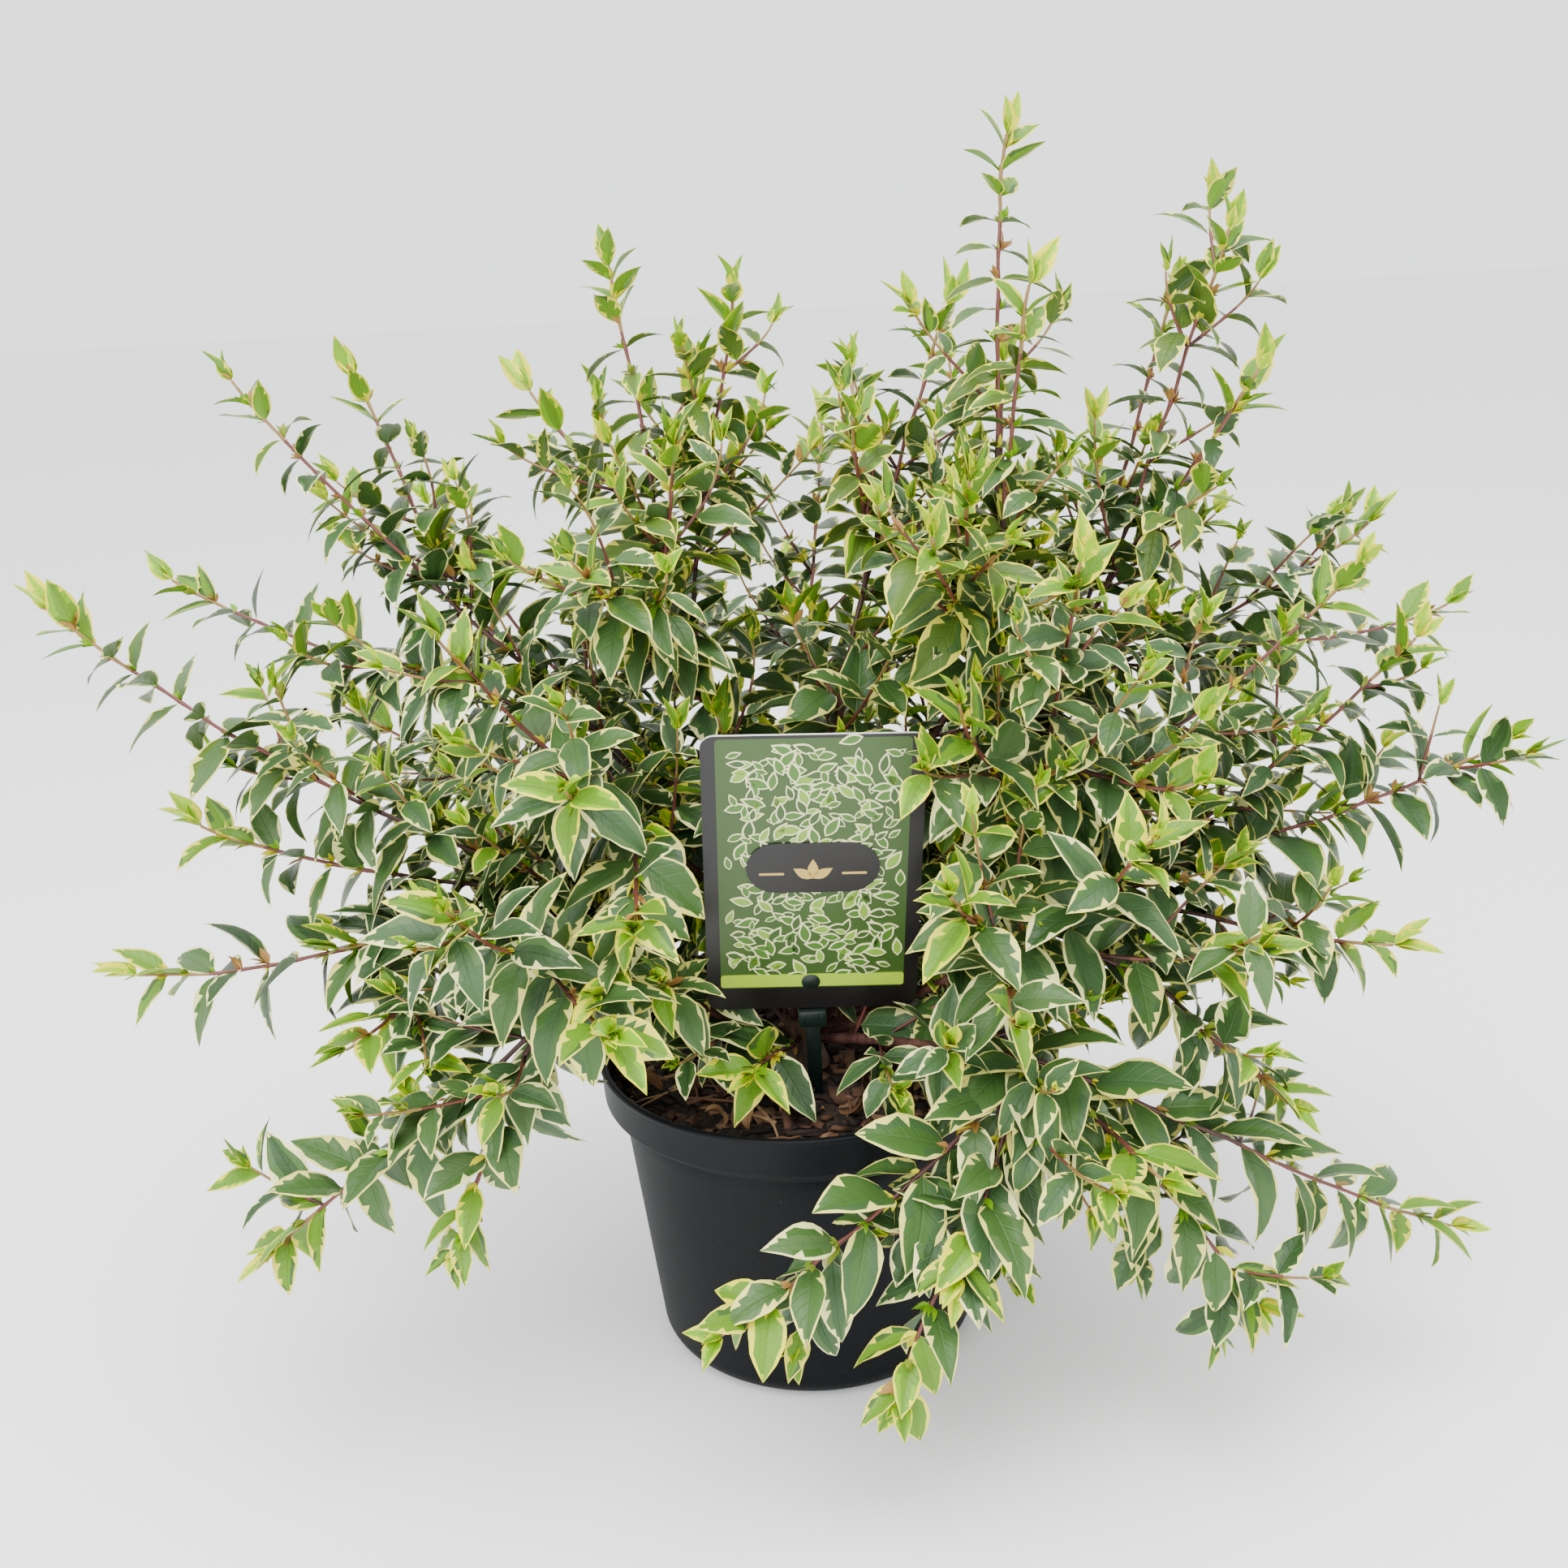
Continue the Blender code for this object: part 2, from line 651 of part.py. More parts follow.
def lay_out_shoots(cane_curves):
    """Work out the leading shoots of every mass as curves."""
    groups = {}
    for name, (limb, _) in MASSES.items():
        groups.setdefault(limb, []).append(name)
    shoots = {}
    for limb, names in groups.items():
        goals = [at(*MASSES[name][1][0][:3]) for name in names]
        if limb == "woody_base":
            starts = []
            for goal in goals:
                outward = Vector((goal.x, goal.y, 0.0)).normalized()
                rise = SOIL_LEVEL + RIM_SHOOT_RISE * BASE_HEIGHT
                starts.append(outward * (BASE_HEAD_RADIUS + GAP) + UP * rise)
            firsts = [Vector((start.x, start.y, 0.0)).normalized() for start in starts]
        else:
            tip = cane_curves[limb][3]
            along = heading(cane_curves[limb], 1.0)
            headings = [(goal - tip).normalized() for goal in goals]
            starts = fork_starts(tip, along, headings)
            firsts = [along] * len(starts)
        for name, start, first, goal in zip(names, starts, firsts, goals):
            leaders = MASSES[name][1]
            main = shoot_curve(start, first, goal, leaders[0][3])
            shoots[name] = [main]
            for number, (azimuth, reach, height, sag) in enumerate(leaders[1:]):
                share = FORK_SHARE - FORK_STEP * number
                foot = bezier(main, share)
                shoots[name].append(shoot_curve(foot, heading(main, share), at(azimuth, reach, height), sag))
    return shoots


class Space:
    """The free space that each mass may fill, tested on points of its leaves and twigs."""

    def __init__(self, cane_curves, shoots):
        starts = []
        ends = []
        owners = []
        self.names = list(shoots)
        for number, name in enumerate(self.names):
            for curve in shoots[name]:
                points = line(curve, LINE_POINTS)
                starts += points[:-1]
                ends += points[1:]
                owners += [number] * (len(points) - 1)
        self.shoot_starts = np.array(starts)
        self.shoot_ends = np.array(ends)
        self.owners = np.array(owners)
        starts = []
        ends = []
        for curve in cane_curves.values():
            points = line(curve, LINE_POINTS)
            starts += points[:-1]
            ends += points[1:]
        self.cane_starts = np.array(starts)
        self.cane_ends = np.array(ends)
        self.to_card = np.array(card_place().inverted())
        self.taken = {name: np.empty((0, 3)) for name in shoots}

    @staticmethod
    def distances(points, starts, ends):
        """Return the distance of each point to each straight piece."""
        along = ends - starts
        size = (along * along).sum(axis=1)
        offset = points[:, None, :] - starts[None, :, :]
        share = np.clip((offset * along).sum(axis=2) / size, 0.0, 1.0)
        return np.linalg.norm(offset - share[:, :, None] * along, axis=2)

    def allows(self, points, name):
        """Say whether a piece of a mass, given by sample points, stays in the mass's space."""
        if points[:, 2].min() < GROUND_CLEARANCE:
            return False
        gaps = self.distances(points, self.shoot_starts, self.shoot_ends)
        own = self.owners == self.names.index(name)
        if (gaps[:, own].min(axis=1) + 2 * SPACE_MARGIN > gaps[:, ~own].min(axis=1)).any():
            return False
        limb = self.distances(points, self.cane_starts, self.cane_ends)
        if limb.min() < CANE_FOOT_RADIUS + LIMB_CLEARANCE:
            return False
        return self.clear_of_pot(points) and self.clear_of_card(points) and self.clear_of_base(points)

    def allows_leaf(self, samples, name):
        """Say whether a leaf stays in its mass's space and off the mass's other leaves."""
        outer = samples[:, LEAF_ROOT_ROWS:].reshape(-1, 3)
        own = self.owners == self.names.index(name)
        if self.distances(outer, self.shoot_starts[own], self.shoot_ends[own]).min() < TWIG_CLEARANCE:
            return False
        taken = self.taken[name]
        if len(taken):
            between = np.linalg.norm(outer[:, None, :] - taken[None, :, :], axis=2)
            if between.min() < LEAF_CLEARANCE:
                return False
        return self.allows(samples.reshape(-1, 3), name)

    def take(self, samples, name):
        """Remember where a leaf is, so that later ones keep off it."""
        self.taken[name] = np.vstack([self.taken[name], samples[:, LEAF_ROOT_ROWS:].reshape(-1, 3)])

    @staticmethod
    def clear_of_pot(points):
        """Say whether points are all outside the pot, or all inside it above the soil."""
        low = points[points[:, 2] < POT_HEIGHT + SOLID_CLEARANCE]
        if len(low) == 0:
            return True
        radius = np.hypot(low[:, 0], low[:, 1])
        outer = np.where(
            low[:, 2] > POT_HEIGHT - LIP_HEIGHT - SOLID_CLEARANCE,
            RIM_RADIUS,
            BODY_TOP_RADIUS,
        )
        if (radius > outer + SOLID_CLEARANCE).all():
            return True
        inside = radius < RIM_RADIUS - LIP_WALL - SOLID_CLEARANCE
        return bool((inside & (low[:, 2] > SOIL_LEVEL + SOLID_CLEARANCE)).all())

    @staticmethod
    def clear_of_base(points):
        """Say whether points stay off the woody base."""
        low = points[points[:, 2] < SOIL_LEVEL + BASE_HEIGHT + SOLID_CLEARANCE]
        if len(low) == 0:
            return True
        return bool(np.hypot(low[:, 0], low[:, 1]).min() > BASE_FOOT_RADIUS + SOLID_CLEARANCE)

    def clear_of_card(self, points):
        """Say whether points stay on one side of the card and its pick."""
        flat = np.hstack([points, np.ones((len(points), 1))]) @ self.to_card.T
        margin = 2 * SOLID_CLEARANCE
        sideways = np.abs(flat[:, 0]) < CARD_WIDTH / 2 + margin
        upright = np.abs(flat[:, 2]) < CARD_HEIGHT / 2 + margin
        pick = (np.abs(flat[:, 0]) < CLIP_WIDTH / 2 + margin) & (flat[:, 2] < 0.0)
        near = flat[(sideways & upright) | pick]
        if len(near) == 0:
            return True
        thick = CLIP_DEPTH / 2 + SOLID_CLEARANCE
        return bool((near[:, 1] > thick).all() or (near[:, 1] < -thick).all())


def three_sided_profile():
    """Make the small triangle that gives a twig its three sides."""
    curve = bpy.data.curves.new("twig_section", "CURVE")
    curve.dimensions = "2D"
    spline = curve.splines.new("POLY")
    spline.points.add(2)
    for i, point in enumerate(spline.points):
        angle = 2 * math.pi * i / 3
        point.co = (math.cos(angle), math.sin(angle), 0.0, 1.0)
    spline.use_cyclic_u = True
    return bpy.data.objects.new("twig_section", curve)


def tapered_tube(name, points, radii, collection, section=None):
    """Make a capped, tapering tube along points, round or with a given section."""
    curve = bpy.data.curves.new(name, "CURVE")
    curve.dimensions = "3D"
    curve.use_fill_caps = True
    curve.twist_mode = "MINIMUM"
    scale = 1.0
    if section is None:
        curve.bevel_depth = CANE_FOOT_RADIUS
        curve.bevel_resolution = CANE_BEVEL_RESOLUTION
        scale = 1.0 / CANE_FOOT_RADIUS
    else:
        curve.bevel_mode = "OBJECT"
        curve.bevel_object = section
    spline = curve.splines.new("POLY")
    spline.points.add(len(points) - 1)
    for knot, point, radius in zip(spline.points, points, radii):
        knot.co = (*point, 1.0)
        knot.radius = radius * scale
    item = bpy.data.objects.new(name, curve)
    collection.objects.link(item)
    return curve_to_mesh(item, collection)


def taper(start, end, count):
    """List radii that go evenly from one size to another."""
    return [start + (end - start) * i / (count - 1) for i in range(count)]


def leaf_frame(direction, turn):
    """Return the frame of a leaf: along its midrib, across it, and off its upper face."""
    along = direction.normalized()
    across = UP.cross(along)
    if across.length < 0.2:
        across = turn.cross(along)
    across.normalize()
    return along, across, along.cross(across)


def leaf_points(root, frame, length):
    """List a leaf's six corners: two at its root, its sides, its midrib's crest and its tip."""
    along, across, off = frame
    half = length * LEAF_WIDTH / 2
    fold = length * LEAF_FOLD
    thick = LEAF_THICKNESS
    tip_drop = length * LEAF_DROOP
    widest = length * LEAF_WIDEST
    sink = fold - tip_drop * LEAF_WIDEST
    return [
        root + off * (thick / 2),
        root - off * (thick / 2),
        root + along * widest + across * half + off * sink,
        root + along * widest - across * half + off * sink,
        root + along * (length * LEAF_CREST) + off * (thick - tip_drop * CREST_DROOP),
        root + along * length - off * tip_drop,
    ]


LEAF_ROOT_ROWS = 2
LEAF_FACES = [
    (0, 4, 2),
    (0, 3, 4),
    (2, 4, 5),
    (4, 3, 5),
    (1, 2, 5),
    (1, 5, 3),
    (0, 2, 1),
    (0, 1, 3),
]


def leaf_samples(corners):
    """Spread test points over a leaf, from its midrib to both margins."""
    root = (corners[0] + corners[1]) / 2
    rows = []
    for side in (corners[2], corners[3]):
        for share in (0.0, 0.5, 1.0):
            middle = corners[4].lerp(side, share)
            inner = [root.lerp(middle, step / 4) for step in range(1, 5)]
            rows.append(inner + [middle.lerp(corners[5], step / 4) for step in range(1, 5)])
    return np.array(rows)


def add_leaf(root, frame, length, pieces):
    """Add one eight-faced leaf to a mass's pieces."""
    mesh = bpy.data.meshes.new("leaf")
    mesh.from_pydata(leaf_points(root, frame, length), [], LEAF_FACES)
    add_object("leaf", mesh, pieces)


def leaf_pair(foot, along, quarter, size, name, space, rng, pieces):
    """Add two opposite leaves at a node, those that fit the mass's space."""
    level = along.cross(UP)
    if level.length < 0.05:
        level = Vector((1.0, 0.0, 0.0))
    level.normalize()
    upright = level.cross(along)
    angle = quarter * math.pi / 2 + rng.uniform(-0.5, 0.5)
    side = level * math.cos(angle) + upright * math.sin(angle)
    made = 0
    for sign in (1, -1):
        spread = LEAF_SPREAD + rng.uniform(-0.2, 0.2)
        length = size * rng.uniform(0.88, 1.12)
        droop = rng.uniform(0.0, 0.3)
        for _ in range(2):
            direction = along * math.cos(spread) + side * (sign * math.sin(spread)) - UP * droop
            frame = leaf_frame(direction, side)
            corners = leaf_points(foot, frame, length)
            samples = leaf_samples(corners)
            if space.allows_leaf(samples, name):
                space.take(samples, name)
                add_leaf(foot, frame, length, pieces)
                made += 1
                break
            spread -= 0.45
            length *= 0.85
    return made


def grow_shoot(curve, bare, name, space, rng, pieces):
    """Set pairs of leaves, each a quarter turn from the last, and short twigs along a shoot."""
    length = curve_length(curve)
    count = max(2, round((length - bare) / PAIR_SPACING))
    section = bpy.data.objects["twig_section"]
    made = 0
    for i in range(count + 1):
        share = (bare + (length - bare) * i / count) / length
        share = min(share, 0.985)
        size = LEAF_LENGTH * (1.0 - YOUNG_LEAF_LOSS * max(0.0, 2 * share - 1))
        foot = bezier(curve, share)
        along = heading(curve, share)
        made += leaf_pair(foot, along, i % 2, size, name, space, rng, pieces)
        if 0 < i < count and rng.random() < TWIG_CHANCE:
            made += grow_twig(foot, along, name, space, rng, pieces, section)
    return made


def grow_twig(foot, along, name, space, rng, pieces, section):
    """Grow a short side twig with one pair of leaves, where it stays in the mass's space."""
    turn = rng.uniform(0.0, 2 * math.pi)
    side = along.orthogonal().normalized()
    side.rotate(Matrix.Rotation(turn, 3, along))
    direction = (along * 0.6 + side * 0.8 + UP * 0.25).normalized()
    tip = foot + direction * (TWIG_LENGTH * rng.uniform(0.8, 1.2))
    points = [foot, foot.lerp(tip, 0.5), tip]
    if not space.allows(np.array([points[1], tip, tip + direction * 0.01]), name):
        return 0
    tapered_tube("twig", [foot, tip], [TWIG_RADIUS, TWIG_RADIUS], pieces, section)
    return leaf_pair(tip - direction * 0.002, direction, 0, LEAF_LENGTH * TWIG_LEAF_SIZE, name, space, rng, pieces)


def build_mass(number, name, curves, space, collection, material):
    """Build one mass: its leading shoots, side twigs and leaves, joined into one solid."""
    rng = random.Random(SEED * 1000 + number)
    section = bpy.data.objects["twig_section"]
    pieces = make_collection("pieces_" + name)
    radii = taper(SHOOT_FOOT_RADIUS, SHOOT_TIP_RADIUS, SHOOT_POINTS)
    stem = tapered_tube(name, line(curves[0], SHOOT_POINTS), radii, collection, section)
    stem.name = name
    for curve in curves[1:]:
        thin = taper(SHOOT_TIP_RADIUS + 0.0001, SHOOT_TIP_RADIUS, SHOOT_POINTS)
        tapered_tube("fork", line(curve, SHOOT_POINTS), thin, pieces, section)
    leaves = 0
    for i, curve in enumerate(curves):
        bare = BARE_FOOT if i == 0 else PAIR_SPACING
        leaves += grow_shoot(curve, bare, name, space, rng, pieces)
    fuse(stem, pieces)
    stem.data.materials.clear()
    stem.data.materials.append(material)
    return leaves


def build_canes(curves, collection, material):
    """Build each cane as one tapering limb from the woody base to its fork."""
    for name, curve in curves.items():
        radii = taper(CANE_FOOT_RADIUS, CANE_TIP_RADIUS, CANE_POINTS)
        cane = tapered_tube(name, line(curve, CANE_POINTS), radii, collection)
        cane.name = name
        cane.data.materials.append(material)
        shade_smooth(cane, 60)


def main():
    """Build the whole potted shrub."""
    clear_scene()
    parts = make_collection(OBJECT_NAME)
    cutters = make_collection("cutters")
    plastic = make_material("pot_plastic", (0.012, 0.014, 0.018), 0.55)
    mix = make_material("potting_mix", (0.045, 0.028, 0.018), 0.95)
    bark = make_material("bark", (0.110, 0.045, 0.035), 0.65)
    foliage = make_material("foliage", (0.145, 0.235, 0.105), 0.45)
    print_stock = make_material("card_print", (0.080, 0.130, 0.045), 0.35)
    pick_plastic = make_material("pick_plastic", (0.012, 0.020, 0.014), 0.40)

    build_pot(parts, plastic)
    build_soil(parts, cutters, mix)
    build_woody_base(parts, bark)
    build_card(parts, cutters, print_stock)
    build_pick(parts, pick_plastic)

    cane_curves = lay_out_canes()
    build_canes(cane_curves, parts, bark)
    shoots = lay_out_shoots(cane_curves)
    space = Space(cane_curves, shoots)
    section = three_sided_profile()
    cutters.objects.link(section)
    section.hide_render = True
    section.display_type = "WIRE"
    leaves = 0
    for number, name in enumerate(MASSES):
        leaves += build_mass(number, name, shoots[name], space, parts, foliage)
    print("leaves", leaves)


main()
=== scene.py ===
"""The looks of a potted variegated glossy abelia: its bark, leaves, pot, mix and card.

The crown grows from the canes and leading shoots of the solids by the same rule, carried on to
side shoots, opposite leaf pairs, buds and soft tips at the plant's own leaf size. Units are
metres, +Z is up, and the pot's flat underside is at z = 0 on the pot's axis.
"""

import math
import random

import bmesh
import bpy
import numpy as np
from mathutils import Matrix, Vector, noise


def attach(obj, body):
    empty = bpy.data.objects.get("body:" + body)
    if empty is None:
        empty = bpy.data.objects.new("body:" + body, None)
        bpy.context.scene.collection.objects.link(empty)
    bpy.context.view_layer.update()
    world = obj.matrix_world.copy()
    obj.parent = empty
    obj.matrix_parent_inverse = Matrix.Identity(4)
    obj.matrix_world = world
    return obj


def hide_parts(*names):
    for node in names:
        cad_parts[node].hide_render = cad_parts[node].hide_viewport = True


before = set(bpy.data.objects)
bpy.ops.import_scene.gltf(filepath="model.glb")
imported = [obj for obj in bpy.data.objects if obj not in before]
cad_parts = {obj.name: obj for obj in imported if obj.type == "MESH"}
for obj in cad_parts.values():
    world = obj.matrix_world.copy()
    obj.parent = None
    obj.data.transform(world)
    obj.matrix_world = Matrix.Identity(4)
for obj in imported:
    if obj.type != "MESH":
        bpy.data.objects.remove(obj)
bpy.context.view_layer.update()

UP = Vector((0.0, 0.0, 1.0))
GAP = 0.0003

# Camera
PHOTO_SIZE = 1932
FOCAL_PIXELS = 2200.0
SENSOR_WIDTH = 36.0
CAMERA_PLACE = Vector((-0.0031, -0.785, 0.541))
CAMERA_PITCH = math.radians(18.37)
CAMERA_ROLL = math.radians(-3.2)

# Stage: each light has a name, place, size and power
FLOOR_SIZE = 8.0
SKY_COLOUR = (0.97, 0.985, 1.0)
SKY_STRENGTH = 2.1
LIGHT_AIM = Vector((0.0, 0.0, 0.30))
LIGHTS = (
    ("light_overhead", (0.1, -0.35, 1.9), 1.8, 52.0),
    ("light_front", (-1.0, -1.7, 1.3), 1.6, 30.0),
)

# Pot
POT_HEIGHT = 0.150
RIM_RADIUS = 0.100
LIP_HEIGHT = 0.020
LIP_DRAFT = 0.0015
RIM_EDGE = 0.0012
LIP_WALL = 0.0045
BODY_TOP_RADIUS = 0.0905
FOOT_RADIUS = 0.0785
FOOT_ROUND = 0.0105
WALL = 0.0025
POT_STEPS = 144
LIP_FILLET = 0.0022
LINE_BELOW_LIP = 0.0065
LINE_DEPTH = 0.00035

# Soil and what lies on it
SOIL_LEVEL = POT_HEIGHT - 0.013
SOIL_CROWN_RADIUS = 0.055
SOIL_EDGE_DROP = 0.003
SOIL_LUMPS = 0.0024
SOIL_RINGS = 30
SOIL_STEPS = 96
CHIP_COUNT = 900
DRY_LEAF_COUNT = 34
DRY_TWIG_COUNT = 26

# Woody base
BASE_HEIGHT = 0.026
BASE_FOOT_RADIUS = 0.0125
BASE_NECK_RADIUS = 0.0085
BASE_HEAD_RADIUS = 0.0100
HEAD_RING_RADIUS = 0.0070
SIDE_START_HEIGHT = 0.017
SIDE_START_ELEVATION = math.radians(25.0)

# Canes and leading shoots
CANE_FOOT_RADIUS = 0.0024
CANE_TIP_RADIUS = 0.0018
CANE_POINTS = 7
CANE_FIRST_PULL = 0.30
CANE_LAST_PULL = 0.35
CANE_OUTWARD_LEAN = 0.25
SIDE_START_APART = 34.0
HEAD_START_APART = 51.0
SHOOT_FOOT_RADIUS = 0.0012
SHOOT_TIP_RADIUS = 0.0007
SHOOT_FIRST_PULL = 0.24
SHOOT_LOW_SHARE = 0.62
SAG_PULL = 1.5
FORK_SHARE = 0.34
FORK_STEP = 0.12
RIM_SHOOT_RISE = 0.7
LINE_POINTS = 13

# Finer growth
SEED = 11
STEM_STEP = 0.0034
STEM_WOBBLE = 0.0016
STEM_WAVES = 38.0
NODE_SWELL = 0.32
NODE_SWELL_LENGTH = 0.0017
LEAF_LOW = 0.043
LEAF_HIGH = 0.032
LEAF_LOW_LEVEL = 0.25
LEAF_HIGH_LEVEL = 0.46
NARROW_LEVEL = 0.40
LEADER_SPACING = 0.0155
SIDE_SPACING = 0.0125
CROWN_REACH = 0.056
GROUND_CLEARANCE = 0.004
SOLID_CLEARANCE = 0.0010
LEAF_APART = 0.21
CELL = 0.012
SIDE_SHOOT_CHANCE = 0.30
SIDE_SHOOT_LONG = 0.080
SIDE_SHOOT_SHORT = 0.034
LIME_CHANCE = 0.5
LEADER_LIME_CHANCE = 0.85
YOUNG_LENGTH = 0.030
LEADER_TIP = (0.017, 0.023)
SIDE_TIP = (0.012, 0.019)
FACE_UP = 0.90
FACE_OUTWARD = 0.38
FACE_STRAY = 0.30
CANE_SHOOT_BARE = 0.030
CANE_SHOOT_SPACING = 0.0175
CANE_SHOOT_CHANCE = 0.72
CANE_SHOOT_LENGTH = (0.040, 0.085)
CANE_NODE_BARE = 0.024
CANE_NODE_SPACING = 0.0145
CANE_NODE_SWELL = 0.22
CANE_NODE_LENGTH = 0.002
CANE_SIDES = 12

# Card and pick
CARD_WIDTH = 0.095
CARD_HEIGHT = 0.145
CARD_CORNER = 0.006
CARD_THICKNESS = 0.0012
CARD_TURN = math.radians(2.5)
LABEL_FOOT = Vector((0.004, -0.030, SOIL_LEVEL))
LABEL_LEAN = math.radians(14.0)
CARD_RISE = 0.051
PICK_WIDTH = 0.0068
PICK_THICKNESS = 0.0016
PICK_DEPTH = 0.045
PICK_BACK_HEIGHT = 0.036
CLIP_WIDTH = 0.013
CLIP_HEIGHT = 0.009
CLIP_DEPTH = 0.006
CLIP_DROP = 0.001
PEG_RADIUS = 0.0024
PEG_RISE = 0.016
PEG_HEAD_RADIUS = 0.0042
PEG_HEAD_THICKNESS = 0.0014
PRINT_STEP = 0.00005

# Where leaves keep off the card, and how far they may cover its edges, seen from the camera:
# more at its lower left and upper right corners, measured from its middle
CARD_MARGIN = 0.002
COVERED_SIDE = 0.007
COVERED_FOOT = 0.006
COVERED_TOP = 0.010
LEAVES_AT_LEFT = (-0.026, -0.030)
LEAVES_AT_RIGHT = (0.033, 0.018)
PICK_SHOWN_WIDTH = 0.012
PICK_SHOWN_DROP = 0.030

# Each cane: azimuth in degrees round the pot's axis, reach and height of its tip, and
# whether it leaves the woody base by its side or its head.
CANES = {
    "cane_left_low": (-168, 0.085, 0.225, "side"),
    "cane_left_high": (167, 0.080, 0.290, "head"),
    "cane_front_left": (-148, 0.100, 0.212, "side"),
    "cane_front_left_high": (-152, 0.070, 0.270, "head"),
    "cane_top_left": (148, 0.045, 0.325, "head"),
    "cane_top": (30, 0.035, 0.335, "head"),
    "cane_top_right": (-8, 0.075, 0.315, "head"),
    "cane_right_high": (12, 0.115, 0.295, "head"),
    "cane_right": (-18, 0.100, 0.262, "head"),
    "cane_right_low": (0, 0.125, 0.212, "side"),
    "cane_front_right": (-33, 0.110, 0.214, "side"),
    "cane_front_right_low": (-48, 0.125, 0.182, "side"),
    "cane_back_left": (128, 0.090, 0.235, "side"),
    "cane_back": (86, 0.085, 0.250, "side"),
    "cane_back_right": (42, 0.095, 0.235, "side"),
}

